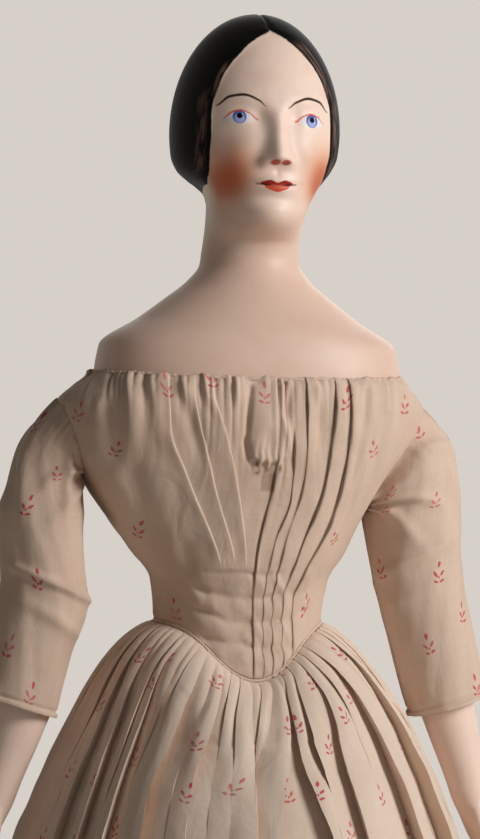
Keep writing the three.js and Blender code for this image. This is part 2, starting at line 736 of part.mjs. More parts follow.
function stuffedLimb(start, direction, length, topBall, footBall, waist) {
  const foot = roundEnd(footBall, PI / 2, PI, 4).map(([along, radius]) => [along + length, radius]);
  const body = [[0.3 * length, waist], [0.6 * length, 0.5 * (waist + footBall) + 0.4]];
  const stations = [...roundEnd(topBall, 0, PI / 2, 4), ...body, ...foot];
  return turned(stations, start, direction, 16);
}

// A cloth cuff over the china stub, and its thread binding
function makeCuff(prefix, pivot, direction, clear, stub) {
  const start = clear + gap;
  const outer = stub + gap + cuffWall;
  const profile = [
    [start, stub + gap],
    [start, outer],
    [start + cuffLength, outer],
    [start + cuffLength, stub + gap],
    [start, stub + gap],
  ];
  const ring = outer + gap + threadRadius;
  const thread = Array.from({ length: 6 }, (_, i) => {
    const angle = (i / 5) * 2 * PI;
    return [start + 0.6 * cuffLength + threadRadius * sin(angle), ring + threadRadius * cos(angle)];
  });
  return [
    [`${prefix}_cuff`, turned(profile, pivot, direction, 16), muslin],
    [`${prefix}_binding`, turned(thread, pivot, direction, 14), linenThread],
  ];
}

// China forearm: stub, swelling, slender wrist
const elbowClear = elbowBall * sin(radians(elbowFlex)) + 0.5;
const elbowStub = elbowBall - 1.3;

function forearmShape(elbow, direction) {
  const stubEnd = elbowClear + gap + cuffLength + gap;
  const span = forearmLength - stubEnd;
  const stations = [
    [elbowClear, 0],
    [elbowClear, elbowStub],
    [stubEnd, elbowStub],
    [stubEnd + 0.06 * span, elbowStub + 1.9],
    [stubEnd + 0.25 * span, elbowStub + 2.5],
    [stubEnd + 0.6 * span, 0.5 * (elbowStub + wristRadius) + 1],
    [forearmLength, wristRadius],
    [forearmLength + 5, wristRadius - 0.6],
    [forearmLength + 5, 0],
  ];
  const socket = new THREE.SphereGeometry(elbowBall + 1.5 * gap, 14, 10).translate(elbow.x, elbow.y, elbow.z);
  return cut(turned(stations, elbow, direction, 16), socket);
}

// Hand: cupped palm, four fingers held together and a thumb in front, made hanging from the wrist
function handShape(side) {
  const palmTop = -0.15 * palmLength;
  const thick = palmThickness / 2;
  const broad = palmWidth / 2;
  const palm = [
    [palmTop, wristRadius - 1.6, wristRadius - 1],
    [palmTop + 0.35 * palmLength, 0.5 * (thick + wristRadius) - 0.8, broad - 1],
    [palmTop + 0.75 * palmLength, thick, broad],
    [palmTop + 1.1 * palmLength, thick - 1.1, broad - 0.4],
  ];
  const palmRings = palm.map(([drop, deep, wide]) =>
    turns(12).map((angle) => new THREE.Vector3(deep * sin(angle), -wide * cos(angle), -drop)));
  const fingers = [-1.5, -0.5, 0.5, 1.5].map((place) => {
    const reach = fingerLength * (1 - 0.09 * abs(place + 0.5));
    const root = palmTop + 0.9 * palmLength;
    const y = place * 2 * (fingerRadius - 0.15);
    const path = [
      [0, root],
      [0, root + 0.4 * reach],
      [-0.08 * reach, root + 0.75 * reach],
      [-0.21 * reach, root + reach],
    ];
    return tube(path.map(([x, drop]) => new THREE.Vector3(side * x, y, -drop)), fingerRadius, 7);
  });
  const thumbRoot = 0.15 * palmLength;
  const thumbPath = [
    [0, broad - 4, thumbRoot],
    [-0.08 * thumbLength, broad + 0.5, thumbRoot + 0.32 * thumbLength],
    [-0.13 * thumbLength, broad + 2.2, thumbRoot + 0.68 * thumbLength],
    [-0.17 * thumbLength, broad + 1.6, thumbRoot + thumbLength],
  ];
  const thumbPoints = thumbPath.map(([x, ahead, drop]) => new THREE.Vector3(side * x, -ahead, -drop));
  const thumb = tube(thumbPoints, thumbRadius, 7);
  return join(loft(palmRings), ...fingers, thumb);
}

// Sleeve: from the arm seam's circle, bending down the arm to its turned hem
function sleeveShape(frame, side) {
  const sideways = (elevation) =>
    new THREE.Vector3(side * cos(radians(elevation)), 0, sin(radians(elevation)));
  const ahead = new THREE.Vector3(0, 1, 0);
  const armpit = frame.shoulder.clone().addScaledVector(sideways(90 - seamLean), -armholeRadius);
  const capTurns = [0, 0.2, 0.45, 0.7, 1];
  const capRing = (turn, wall) => {
    const out = sideways(THREE.MathUtils.lerp(90 - seamLean, armLean, turn));
    const down = new THREE.Vector3().crossVectors(ahead, out).multiplyScalar(side);
    const radius = armholeRadius - 1.6 * turn;
    const centre = armpit.clone().addScaledVector(out, radius).addScaledVector(down, gap + 5 * turn);
    return { centre, out, radius: radius - wall };
  };
  const last = capRing(1, 0);
  const elbow = frame.elbow.clone().addScaledVector(sideways(armLean), 1.5);
  const hem = frame.elbow.clone().addScaledVector(frame.fore, sleeveReach);
  hem.addScaledVector(sideways(forearmLean), 0.5);
  const half = last.centre.clone().lerp(elbow, 0.5);
  const mid = sideways(0.5 * (armLean + forearmLean));
  const low = sideways(forearmLean);
  const armRing = (wall) => [
    { centre: half, out: last.out, radius: 0.5 * (last.radius + sleeveElbow) },
    { centre: elbow, out: mid, radius: sleeveElbow },
    { centre: elbow.clone().lerp(hem, 0.45), out: low, radius: 0.5 * (sleeveElbow + sleeveHem) },
    { centre: elbow.clone().lerp(hem, 0.88), out: low, radius: sleeveHem },
    { centre: elbow.clone().lerp(hem, 0.89), out: low, radius: sleeveHem + (wall > 0 ? 0 : 0.6) },
    { centre: hem, out: low, radius: sleeveHem + (wall > 0 ? 0 : 0.6) },
  ].map((ring) => ({ ...ring, radius: ring.radius - wall }));
  const rings = (wall) => [...capTurns.map((turn) => capRing(turn, wall)), ...armRing(wall)].map(
    ({ centre, out, radius }) => ringAround(centre, out, ahead, radius, 16));
  return loft([...rings(0), ...rings(clothWall).reverse()], true);
}

function makeArm(name, side) {
  const frame = armFrame(side);
  const pinch = shoulderBall + 0.4;
  const limb = stuffedLimb(frame.shoulder, frame.upper, upperArmLength, shoulderBall, elbowBall, pinch);
  addPiece(`${name}_upper_arm`, limb, muslin);
  addPiece(`${name}_sleeve`, sleeveShape(frame, side), printedCotton);
  const wrist = frame.elbow.clone().addScaledVector(frame.fore, forearmLength);
  const hang = new THREE.Quaternion().setFromUnitVectors(new THREE.Vector3(0, 0, -1), frame.fore);
  const hand = handShape(side).applyQuaternion(hang).translate(wrist.x, wrist.y, wrist.z);
  addPiece(`${name}_forearm`, join(forearmShape(frame.elbow, frame.fore), hand), tintedChina);
  const cuff = makeCuff(`${name}_arm`, frame.elbow, frame.fore, elbowClear, elbowStub);
  cuff.forEach((piece) => addPiece(...piece));
}

// Legs: stuffed thigh, china lower leg and flat slipper
const kneeZ = hipHeight - thighLength;
const kneeClear = kneeBall * sin(radians(kneeFlex)) + 1;
const kneeStub = kneeBall - 1.3;

function lowerLegShape(x) {
  const shinTop = kneeZ - kneeClear;
  const stubEndZ = shinTop - cuffLength - 2 * gap;
  const run = stubEndZ - soleHeight;
  const foot = footLength / 42;
  const levels = [
    [shinTop, kneeStub, kneeStub, kneeStub],
    [stubEndZ, kneeStub, kneeStub, kneeStub],
    [stubEndZ - 0.02 * run, kneeStub + 1.6, kneeStub + 1.4, kneeStub + 1.8],
    [stubEndZ - 0.22 * run, 11.4, 10.8, 12.6],
    [stubEndZ - 0.5 * run, 9, 8.6, 9.4],
    [soleHeight + 24, 6.6, 7, 7.2],
    [soleHeight + 15, 7.2, 9.5 * foot, 8.4 * foot],
    [soleHeight + 10.5, 7.8, 17 * foot, 9 * foot],
    [soleHeight + 7, 8.2, 25 * foot, 9.4 * foot],
    [soleHeight + 3.5, 8.3, 31 * foot, 9.4 * foot],
    [soleHeight + 1, 7.9, 32.6 * foot, 9 * foot],
    [soleHeight, 7.2, 31.6 * foot, 8.4 * foot],
  ];
  const rings = levels.map(([z, half, front, back]) =>
    turns(18).map((angle) => onOval({ half, front, back }, angle, z).add(new THREE.Vector3(x, 0, 0))));
  const socket = new THREE.SphereGeometry(kneeBall + 1.5 * gap, 14, 10).translate(x, 0, kneeZ);
  return cut(loft(rings), socket);
}

function makeLeg(name, side) {
  const hip = new THREE.Vector3((side * hipSpan) / 2, 0, hipHeight);
  const knee = new THREE.Vector3(hip.x, 0, kneeZ);
  const down = new THREE.Vector3(0, 0, -1);
  addPiece(`${name}_thigh`, stuffedLimb(hip, down, thighLength, hipBall, kneeBall, hipBall + 1.5), muslin);
  addPiece(`${name}_lower_leg`, lowerLegShape(hip.x), tintedChina);
  const cuff = makeCuff(`${name}_leg`, knee, down, kneeClear, kneeStub);
  cuff.forEach((piece) => addPiece(...piece));
}

makeShoulderHead();
makeTorso();
makeHeadStitches();
makeBodice();
makeEdgeCords();
makeBackFastening();
makeSkirt();
makePetticoat();
makeArm("right", -1);
makeArm("left", 1);
makeLeg("right", -1);
makeLeg("left", 1);

export default doll;
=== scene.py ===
import json
import bmesh
import bpy
import numpy as np
from mathutils import Matrix, Vector
from mathutils.kdtree import KDTree


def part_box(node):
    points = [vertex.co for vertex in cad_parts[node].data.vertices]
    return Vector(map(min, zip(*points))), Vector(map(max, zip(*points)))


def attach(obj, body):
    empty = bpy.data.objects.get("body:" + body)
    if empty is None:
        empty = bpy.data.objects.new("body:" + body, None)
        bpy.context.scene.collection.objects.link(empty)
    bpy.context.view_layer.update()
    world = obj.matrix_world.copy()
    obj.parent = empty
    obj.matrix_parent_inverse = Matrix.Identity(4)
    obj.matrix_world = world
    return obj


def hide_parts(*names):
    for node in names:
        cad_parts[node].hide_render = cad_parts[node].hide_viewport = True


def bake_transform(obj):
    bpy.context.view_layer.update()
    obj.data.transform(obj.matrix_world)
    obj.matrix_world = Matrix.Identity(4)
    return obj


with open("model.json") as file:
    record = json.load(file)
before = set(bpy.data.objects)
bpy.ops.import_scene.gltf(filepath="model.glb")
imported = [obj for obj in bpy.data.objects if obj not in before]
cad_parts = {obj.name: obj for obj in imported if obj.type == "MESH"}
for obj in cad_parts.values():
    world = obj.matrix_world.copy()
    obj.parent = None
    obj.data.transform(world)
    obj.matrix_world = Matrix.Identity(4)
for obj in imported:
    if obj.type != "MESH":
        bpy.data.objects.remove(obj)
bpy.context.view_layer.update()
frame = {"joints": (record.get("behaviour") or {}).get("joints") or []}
mm = 0.001  # lengths below are millimetres, +Z up, the doll faces -Y and its left is +X
sides = {"right": -1, "left": 1}
print("frame loaded")


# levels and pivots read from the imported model
def nodeBox(node):
    low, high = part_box(node)
    return np.array(low) / mm, np.array(high) / mm


def jointAt(name):
    joint = next(j for j in frame["joints"] if j["name"] == name)
    return np.array(joint["pos_m"]) / mm


plateHemZ = nodeBox("shoulder_head")[0][2]
crownZ = nodeBox("shoulder_head")[1][2]
chinZ = crownZ - 72.9  # under the chin
headMidZ = chinZ + 31  # widest level of the hair
waistZ = nodeBox("bodice_back_left")[0][2] + 0.1
necklineZ = nodeBox("bodice_front")[1][2]
shoulderZ = necklineZ + 9
neckRootZ = shoulderZ + 28
skirtReach = nodeBox("skirt")[1][0]  # crest of the folds at the hem
torsoFootZ = nodeBox("torso")[0][2]
headAxisY = -7
pointDrop = 19  # how far the waist dips in front
armLean, forearmLean = 13.5, 17.0  # degrees that the arms stand out at the sides
shoulder, elbow, knee = (jointAt(f"left_{joint}") for joint in ("shoulder", "elbow", "knee"))


# a smooth curve through a few (place, value) landmarks
def curve(*points):
    points = sorted(points)
    xs = np.array([p[0] for p in points], float)
    ys = np.array([p[1] for p in points], float)
    steps = np.diff(ys) / np.diff(xs)
    slopes = np.zeros_like(ys)
    for i in range(1, len(xs) - 1):
        a, b = steps[i - 1], steps[i]
        slopes[i] = 0 if a * b <= 0 else 2 * a * b / (a + b)

    def at(x):
        x = np.clip(x, xs[0], xs[-1])
        i = np.clip(np.searchsorted(xs, x, side="right") - 1, 0, len(xs) - 2)
        width = xs[i + 1] - xs[i]
        t = (x - xs[i]) / width
        bend = t * (1 - t) * width * (slopes[i] * (1 - t) - slopes[i + 1] * t)
        return ys[i] + (ys[i + 1] - ys[i]) * t * t * (3 - 2 * t) + bend

    return at


def ease(value, low, high):
    t = np.clip((value - low) / (high - low), 0, 1)
    return t * t * (3 - 2 * t)


def span(value, a, b, c, d):
    return ease(value, a, b) * (1 - ease(value, c, d))


def bell(value, wide):
    return np.exp(-(value / wide) ** 2)


def swell(across, up, wide, tall):
    return np.exp(-(across / wide) ** 2 - (up / tall) ** 2)


# a ball's outline over the given size, by the distance from the tip
def roundedEnd(fromTip, size, least=0.0):
    return np.sqrt(np.clip(1 - np.clip(1 - fromTip / size, 0, 1) ** 2, least, 1))


# slow irregular waver between -1 and 1, the same on every run
def waver(value, seed):
    first = np.sin(1.31 * value + 1.7 * seed)
    second = np.sin(2.17 * value + 4.1 * seed + 0.6)
    return 0.5 * first + 0.32 * second + 0.18 * np.sin(3.73 * value + 2.9 * seed)


# a fixed number between 0 and 1 for a pair of counts
def chanceOf(column, row):
    return (np.sin(column * 12.9898 + row * 78.233) * 43758.5453) % 1


# point on an oval section with its own front, back and half width; angle 0 is the front
def onOval(section, angle):
    power = 2 / section["square"]
    side = np.sign(np.sin(angle)) * np.abs(np.sin(angle)) ** power
    ahead = np.sign(np.cos(angle)) * np.abs(np.cos(angle)) ** power
    depth = np.where(ahead > 0, section["front"], section["back"])
    return section["half"] * side, section["axis"] - depth * ahead


# outward direction of that section
def ovalOut(section, x, y):
    depth = np.where(y < section["axis"], section["front"], section["back"])
    outX = x / section["half"] ** 2
    outY = (y - section["axis"]) / depth ** 2
    length = np.hypot(outX, outY) + 1e-9
    return outX / length, outY / length


def grown(section, by):
    return {**section, **{key: section[key] + by for key in ("half", "front", "back")}}


# down a limb that leans out by some degrees, and square to it
def downLimb(lean, side=1):
    return np.array([side * np.sin(np.radians(lean)), 0, -np.cos(np.radians(lean))])


def outOfLimb(lean):
    return np.array([np.cos(np.radians(lean)), 0, np.sin(np.radians(lean))])


# points around an axis: distance along it, radius, and turn from the back
def aroundAxis(start, direction, along, size, turn):
    direction = np.asarray(direction, float)
    side = np.array([0.0, 1.0, 0.0])
    other = np.cross(direction, side)
    across = np.cos(turn)[:, None] * side + np.sin(turn)[:, None] * other
    return np.asarray(start) + along[:, None] * direction + size[:, None] * across


# modelling helpers
def choose(*pieces):
    bpy.ops.object.select_all(action="DESELECT")
    for piece in pieces:
        piece.select_set(True)
    bpy.context.view_layer.objects.active = pieces[0]


def readMesh(items, field, width, kind=float):
    values = np.empty(width * len(items), dtype=kind)
    items.foreach_get(field, values)
    return values


def newGrid(name, columns, rows):
    bpy.ops.object.select_all(action="DESELECT")
    bpy.ops.mesh.primitive_grid_add(x_subdivisions=columns, y_subdivisions=rows, size=2)
    piece = bpy.context.object
    piece.name = piece.data.name = name
    places = readMesh(piece.data.vertices, "co", 3)
    return piece, (places[0::3] + 1) / 2, (places[1::3] + 1) / 2


def setPlaces(piece, x, y, z):
    piece.data.vertices.foreach_set("co", np.stack([x, y, z], axis=-1).ravel() * mm)
    piece.data.update()


# where each corner lies on the flat cloth, in millimetres
def setCut(piece, across, along, corners=None):
    if corners is None:
        corners = readMesh(piece.data.loops, "vertex_index", 1, int)
    flat = np.stack([across[corners], along[corners]], axis=-1)
    piece.data.uv_layers["UVMap"].data.foreach_set("uv", flat.ravel())
    return across[corners], along[corners]


def setPaint(piece, name, values):
    layer = piece.data.attributes.new(name, "FLOAT", "POINT")
    layer.data.foreach_set("value", np.asarray(values, dtype=np.float32))


def openEdit(piece):
    choose(piece)
    bpy.ops.object.mode_set(mode="EDIT")
    bpy.ops.mesh.select_all(action="SELECT")


def closeEdit():
    bpy.ops.object.mode_set(mode="OBJECT")


def mergeSeam(piece, reach=0.004):
    openEdit(piece)
    bpy.ops.mesh.remove_doubles(threshold=reach * mm)
    closeEdit()


# closes the open edges, after turning them in by steps of scale and rise
def closeEnds(piece, turnings=()):
    openEdit(piece)
    bpy.ops.mesh.select_all(action="DESELECT")
    bpy.ops.mesh.select_mode(type="EDGE")
    bpy.ops.mesh.select_non_manifold()
    for scale, rise in turnings:
        bpy.ops.mesh.extrude_edges_move()
        bpy.ops.transform.resize(value=(scale, scale, 1))
        bpy.ops.transform.translate(value=(0, 0, rise * mm))
    bpy.ops.mesh.fill_holes(sides=0)
    bpy.ops.mesh.select_mode(type="VERT")
    closeEdit()


def faceOutwards(piece):
    openEdit(piece)
    bpy.ops.mesh.normals_make_consistent(inside=False)
    closeEdit()


def finishWith(piece, kind, **settings):
    modifier = piece.modifiers.new(kind.title(), kind)
    for key, value in settings.items():
        setattr(modifier, key, value)
    bpy.context.view_layer.objects.active = piece
    bpy.ops.object.modifier_apply(modifier=modifier.name)


def layCloth(piece, wall):
    finishWith(piece, "SOLIDIFY", thickness=wall * mm, offset=-1.0, use_even_offset=False)


def joinPieces(name, pieces):
    choose(*pieces)
    bpy.ops.object.join()
    pieces[0].name = pieces[0].data.name = name
    return pieces[0]


def cover(piece, material, crisp=None):
    piece.data.materials.clear()
    piece.data.materials.append(material)
    choose(piece)
    if crisp:
        bpy.ops.object.shade_smooth_by_angle(angle=np.radians(crisp))
    else:
        bpy.ops.object.shade_smooth()


# finish, slot, body and the frame node that a piece stands for
def settle(piece, material, node, body=None, crisp=None):
    cover(piece, material, crisp)
    if body:
        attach(piece, body)
    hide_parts(node)


# length along each row of a grid, from a column on, and along each column from the first row
def gridLengths(x, y, z, columns, rows, fromColumn):
    shape = (rows + 1, columns + 1)
    points = np.stack([x.reshape(shape), y.reshape(shape), z.reshape(shape)], axis=-1)
    across = np.zeros(shape)
    across[:, 1:] = np.cumsum(np.linalg.norm(np.diff(points, axis=1), axis=-1), axis=1)
    across -= across[:, fromColumn:fromColumn + 1]
    along = np.zeros(shape)
    along[1:] = np.cumsum(np.linalg.norm(np.diff(points, axis=0), axis=-1), axis=0)
    return across.ravel(), along.ravel()


# round tube through a list of points, open with closed ends, or a closed loop
def roundTube(name, path, radius, around=10, closed=False):
    path = np.asarray(path, float)
    count = len(path)
    rows = count if closed else count - 1
    piece, u, v = newGrid(name, around, rows)
    index = np.rint(v * rows).astype(int) % count
    ahead = np.roll(path, -1, axis=0) - np.roll(path, 1, axis=0)
    if not closed:
        ahead[0] = path[1] - path[0]
        ahead[-1] = path[-1] - path[-2]
    ahead /= np.linalg.norm(ahead, axis=1)[:, None]
    steady = np.where(np.abs(ahead[:, 2:3]) > 0.9, [[0, 1, 0]], [[0, 0, 1]])
    side = np.cross(ahead, steady)
    side /= np.linalg.norm(side, axis=1)[:, None]
    rise = np.cross(side, ahead)
    turn = -2 * np.pi * u
    sizes = np.broadcast_to(np.asarray(radius, float), (count,))[index]
    across = np.cos(turn)[:, None] * side[index] + np.sin(turn)[:, None] * rise[index]
    setPlaces(piece, *(path[index] + sizes[:, None] * across).T)
    setCut(piece, 2 * np.pi * u * float(np.mean(radius)), v * 10 * count)
    mergeSeam(piece, 0.002)
    if not closed:
        closeEnds(piece)
    faceOutwards(piece)
    return piece


# materials
def toLinear(code):
    values = [int(code[i:i + 2], 16) / 255 for i in (1, 3, 5)]
    return tuple(v / 12.92 if v <= 0.04045 else ((v + 0.055) / 1.055) ** 2.4 for v in values) + (1.0,)


# adds a node with its settings, links the sockets among its inputs, and gives one of its outputs
def addNode(tree, kind, inputs=None, output=0, **settings):
    node = tree.nodes.new("ShaderNode" + kind)
    for key, value in settings.items():
        setattr(node, key, value)
    for socket, value in (inputs or {}).items():
        if isinstance(value, bpy.types.NodeSocket):
            tree.links.new(value, node.inputs[socket])
        else:
            node.inputs[socket].default_value = toLinear(value) if isinstance(value, str) else value
    return node.outputs[output]


smoothStep = dict(interpolation_type="SMOOTHSTEP")  # range nodes: value, from, to, result from, result to


def newMaterial(name, shader):
    material = bpy.data.materials.new(name)
    material.use_nodes = True
    tree = material.node_tree
    surface = tree.nodes["Principled BSDF"].inputs
    for socket, value in shader.items():
        surface[socket].default_value = value
    return material, tree, surface


# lays a colour over another as far as a value says, or as it runs from low to high
def layOver(tree, under, over, value, low=None, high=1.0, strength=1.0):
    if low is not None:
        value = addNode(tree, "MapRange", {0: value, 1: low, 2: high, 4: strength}, **smoothStep)
    return addNode(tree, "Mix", {0: value, 6: under, 7: over}, 2, data_type="RGBA")


# glazed china: tinted bisque under a clear glaze, smooth and softly glossy, faintly mottled by firing
chinaLook = dict(tint="#ecd0bf", warm="#e2bfab", mottle=9.0)
chinaShader = {"Roughness": 0.5, "IOR": 1.5, "Coat Weight": 0.05, "Coat Roughness": 0.3}


def makeChina(name, paint=None):
    material, tree, surface = newMaterial(name, chinaShader)
    place = addNode(tree, "TexCoord", output="Object")
    cloud = addNode(tree, "TexNoise", {"Vector": place, "Scale": 1000 / chinaLook["mottle"], "Detail": 3.0})
    colour = layOver(tree, chinaLook["tint"], chinaLook["warm"], cloud, 0.42, 0.75, 0.45)
    if paint:
        colour = paint(tree, surface, colour, place)
    tree.links.new(colour, surface["Base Color"])
    return material


# painted head: china paints under the glaze, brushed by hand, so edges are soft and strokes thin out
# the darker tone of neck and plate also paints the shade under the jaw
facePaint = dict(hair="#060606", brushed="#6d564e", brow="#2b1712", lid="#cf5230", iris="#a3add8", irisRim="#5163a8",
                 pupil="#06060a", white="#e3dfe4", upperLip="#a02c22", lowerLip="#cb4c2e", mouthLine="#4a1d18",
                 nostril="#b0402c", blush="#dc8a5a", blushCore="#bc4f16", neckTintAndJawShade="#c39b82")
# what is brushed on, in order: field, paint, softness of its edge in millimetres, strength
faceLayers = (("eyeWhite", "white", 0.5, 0.8), ("iris", "irisRim", 0.16, 1.0), ("irisInner", "iris", 0.3, 1.0),
              ("pupil", "pupil", 0.16, 1.0), ("glint", "white", 0.15, 0.8), ("lid", "lid", 0.2, 1.0),
              ("brow", "brow", 0.18, 0.96), ("nostril", "nostril", 0.3, 1.0), ("lowerLip", "lowerLip", 0.22, 1.0),
              ("upperLip", "upperLip", 0.2, 1.0), ("mouthLine", "mouthLine", 0.2, 1.0))
# dark paint is fired on thinly and shines less than the bare glaze: levels of the glaze and of the paint
dullPaints = ("brow", "pupil", "iris", "mouthLine", "upperLip")
dullLevels = {"Specular IOR Level": (0.4, 0.04), "Coat Weight": (0.05, 0.0), "Roughness": (0.5, 0.48)}
hairBrush = dict(streak=2.2, strokes=110.0, strokeScale=1.1)


def paintHead(tree, surface, colour, place):
    def field(name):
        return addNode(tree, "Attribute", output="Fac", attribute_name=name)

    for layer in ("neckTintAndJawShade", "blush", "blushCore"):
        colour = layOver(tree, colour, facePaint[layer], field(layer))
    for name, paint, edge, strength in faceLayers:
        colour = layOver(tree, colour, facePaint[paint], field(name), edge, -edge, strength)
    # solid black up to the hairline, thinned to brown brush strokes that follow it at the temples
    brushed = addNode(tree, "Mapping", {"Vector": place, "Scale": (1.0, 1.0, 0.3)})
    streaks = addNode(tree, "TexNoise", {"Vector": brushed, "Scale": 1000 / hairBrush["streak"], "Detail": 2.0})
    ragged = addNode(tree, "Math", {0: streaks, 1: 0.8, 2: -0.4}, operation="MULTIPLY_ADD")
    edge = addNode(tree, "Math", {0: field("hair"), 1: ragged}, operation="ADD")
    black = addNode(tree, "MapRange", {0: edge, 1: -0.2, 2: 0.25}, **smoothStep)
    colour = layOver(tree, colour, facePaint["hair"], black)
    height = addNode(tree, "SeparateXYZ", {0: place}, 2)
    along = addNode(tree, "Math", {0: height, 1: hairBrush["strokes"]}, operation="MULTIPLY")
    stroke = addNode(tree, "CombineXYZ", {0: field("hair"), 1: along})
    hairs = addNode(tree, "TexNoise", {"Vector": stroke, "Scale": hairBrush["strokeScale"], "Detail": 3.0})
    strokes = addNode(tree, "MapRange", {0: hairs, 1: 0.38, 2: 0.6}, **smoothStep)
    thinned = addNode(tree, "Math", {0: field("thin"), 1: strokes}, operation="MULTIPLY")
    colour = layOver(tree, colour, facePaint["brushed"], thinned)
    for name in dullPaints:
        dull = addNode(tree, "MapRange", {0: field(name), 1: 0.3, 2: 0.0}, **smoothStep)
        black = addNode(tree, "Math", {0: black, 1: dull}, operation="MAXIMUM")
    for socket, (glaze, paint) in dullLevels.items():
        tree.links.new(addNode(tree, "MapRange", {0: black, 3: glaze, 4: paint}, **smoothStep), surface[socket])
    return colour


# slippers are painted on the lower legs: a dark flat shoe with a thin ribbon edge
slipperPaint = dict(ribbon="#6b2f2a", shoe="#17120f")


def paintSlipper(tree, surface, colour, place):
    field = addNode(tree, "Attribute", output="Fac", attribute_name="slipper")
    colour = layOver(tree, colour, slipperPaint["ribbon"], field, -0.15, 0.15)
    return layOver(tree, colour, slipperPaint["shoe"], field, 0.7, 1.0)


# printed cotton: thin unbleached plain weave gone cream with age, matt, slubbed, block-printed in madder red
# the pale cloth also gives painted highlight on lit pleat edges, the dark brown gives stains and painted shade in
# creases
cottonLook = dict(cloth="#d5bba7", aged="#bfa08b", toneAndPaintedLightCloth="#ead9c8", stainAndShadeCloth="#7d5c40", print="#bf4650",
                  faded="#d08580", thread=0.8, slub=7.0, crumple=11.0, ageing=42.0, columnStep=21.0, rowStep=25.0,
                  jitter=3.0, clear=15.0, lean=0.7, grain=1.1, fading=14.0)
clothShader = {"Roughness": 0.9, "Sheen Weight": 0.1, "Sheen Roughness": 0.5, "Specular IOR Level": 0.2}
# sprig of separate dabs: middle x, y, half length, half width, lean in degrees
sprigDabs = ((0.2, 3.1, 1.15, 0.6, 80), (-1.25, -0.3, 1.2, 0.5, 126), (1.4, 0.1, 1.2, 0.48, 44),
             (-1.2, -2.7, 0.9, 0.42, 160), (1.1, -2.5, 1.1, 0.46, 22), (0.0, -1.2, 0.5, 0.3, 90))
offPrint = 30.0  # millimetres from a sprig where none shows


def makeCotton(name, look, printed=False):
    material, tree, surface = newMaterial(name, clothShader)
    flat = addNode(tree, "UVMap", uv_map="UVMap")
    place = addNode(tree, "TexCoord", output="Object")
    # ageing in soft clouds, and slubs along warp and weft
    cloud = addNode(tree, "TexNoise", {"Vector": place, "Scale": 1000 / look["ageing"], "Detail": 4.0})
    colour = layOver(tree, look["cloth"], look["aged"], cloud, 0.38, 0.7, 0.7)
    slubs, waves = [], []
    for direction, stretch in (("X", (1.0, 0.07, 1.0)), ("Y", (0.07, 1.0, 1.0))):
        drawn = addNode(tree, "Mapping", {"Vector": flat, "Scale": stretch})
        slubs.append(addNode(tree, "TexNoise", {"Vector": drawn, "Scale": 6 / look["slub"], "Detail": 2.0}))
        # the real weave is about 0.3 mm, drawn coarser so that it shows
        inputs = {"Vector": flat, "Scale": 0.314 / look["thread"], "Distortion": 0.6}
        waves.append(addNode(tree, "TexWave", inputs, "Fac", bands_direction=direction))
    slub = addNode(tree, "Math", {0: slubs[0], 1: slubs[1]}, operation="ADD")
    weave = addNode(tree, "Math", {0: waves[0], 1: waves[1]}, operation="MULTIPLY")
    colour = layOver(tree, colour, look["aged"], slub, 0.85, 1.3, 0.16)
    for overlay in ("toneAndPaintedLight", "stainAndShade"):  # paler cloth and painted highlight on lit pleat edges under the print, stains and painted shade in creases over it
        field = addNode(tree, "Attribute", output="Fac", attribute_name=overlay)
        colour = layOver(tree, colour, look[overlay + "Cloth"], field)
        if printed and overlay == "toneAndPaintedLight":
            colour = printSprigs(tree, flat, colour, look)
    tree.links.new(colour, surface["Base Color"])
    height = addNode(tree, "Math", {0: slub, 1: 1.2, 2: weave}, operation="MULTIPLY_ADD")
    bump = addNode(tree, "Bump", {"Height": height, "Strength": 0.16, "Distance": 0.1 * mm})
    # limp unpressed cloth: soft crumples longer than they are wide
    hanging = addNode(tree, "Mapping", {"Vector": place, "Scale": (1.0, 1.0, 0.45)})
    crumple = addNode(tree, "TexNoise", {"Vector": hanging, "Scale": 1000 / look["crumple"], "Detail": 3.0,
                                         "Distortion": 0.6})
    inputs = {"Height": crumple, "Strength": 0.5, "Distance": 1.6 * mm, "Normal": bump}
    tree.links.new(addNode(tree, "Bump", inputs), surface["Normal"])
    return material


# the second UV map holds each corner's place on the nearest sprig, in millimetres
def printSprigs(tree, flat, colour, look):
    spot = addNode(tree, "UVMap", uv_map="sprigs")
    for number, (middleX, middleY, long, wide, turn) in enumerate(sprigDabs):
        inputs = {"Vector": spot, "Location": (middleX, middleY, 0), "Rotation": (0, 0, np.radians(turn)),
                  "Scale": (long, wide, 1)}
        dab = addNode(tree, "Mapping", inputs, vector_type="TEXTURE")
        reach = addNode(tree, "VectorMath", {0: dab}, "Value", operation="LENGTH")
        nearest = addNode(tree, "Math", {0: nearest, 1: reach}, operation="MINIMUM") if number else reach
    grain = addNode(tree, "TexNoise", {"Vector": flat, "Scale": 1 / look["grain"], "Detail": 2.0})
    fading = addNode(tree, "TexNoise", {"Vector": flat, "Scale": 1 / look["fading"], "Detail": 1.0})
    inner = addNode(tree, "Math", {0: nearest, 1: 0.5}, operation="SUBTRACT")
    ragged = addNode(tree, "Math", {0: grain, 1: inner}, operation="ADD")
    ink = layOver(tree, look["print"], look["faded"], fading, 0.4, 0.62, 0.7)
    return layOver(tree, colour, ink, ragged, 1.2, 0.75, 0.94)
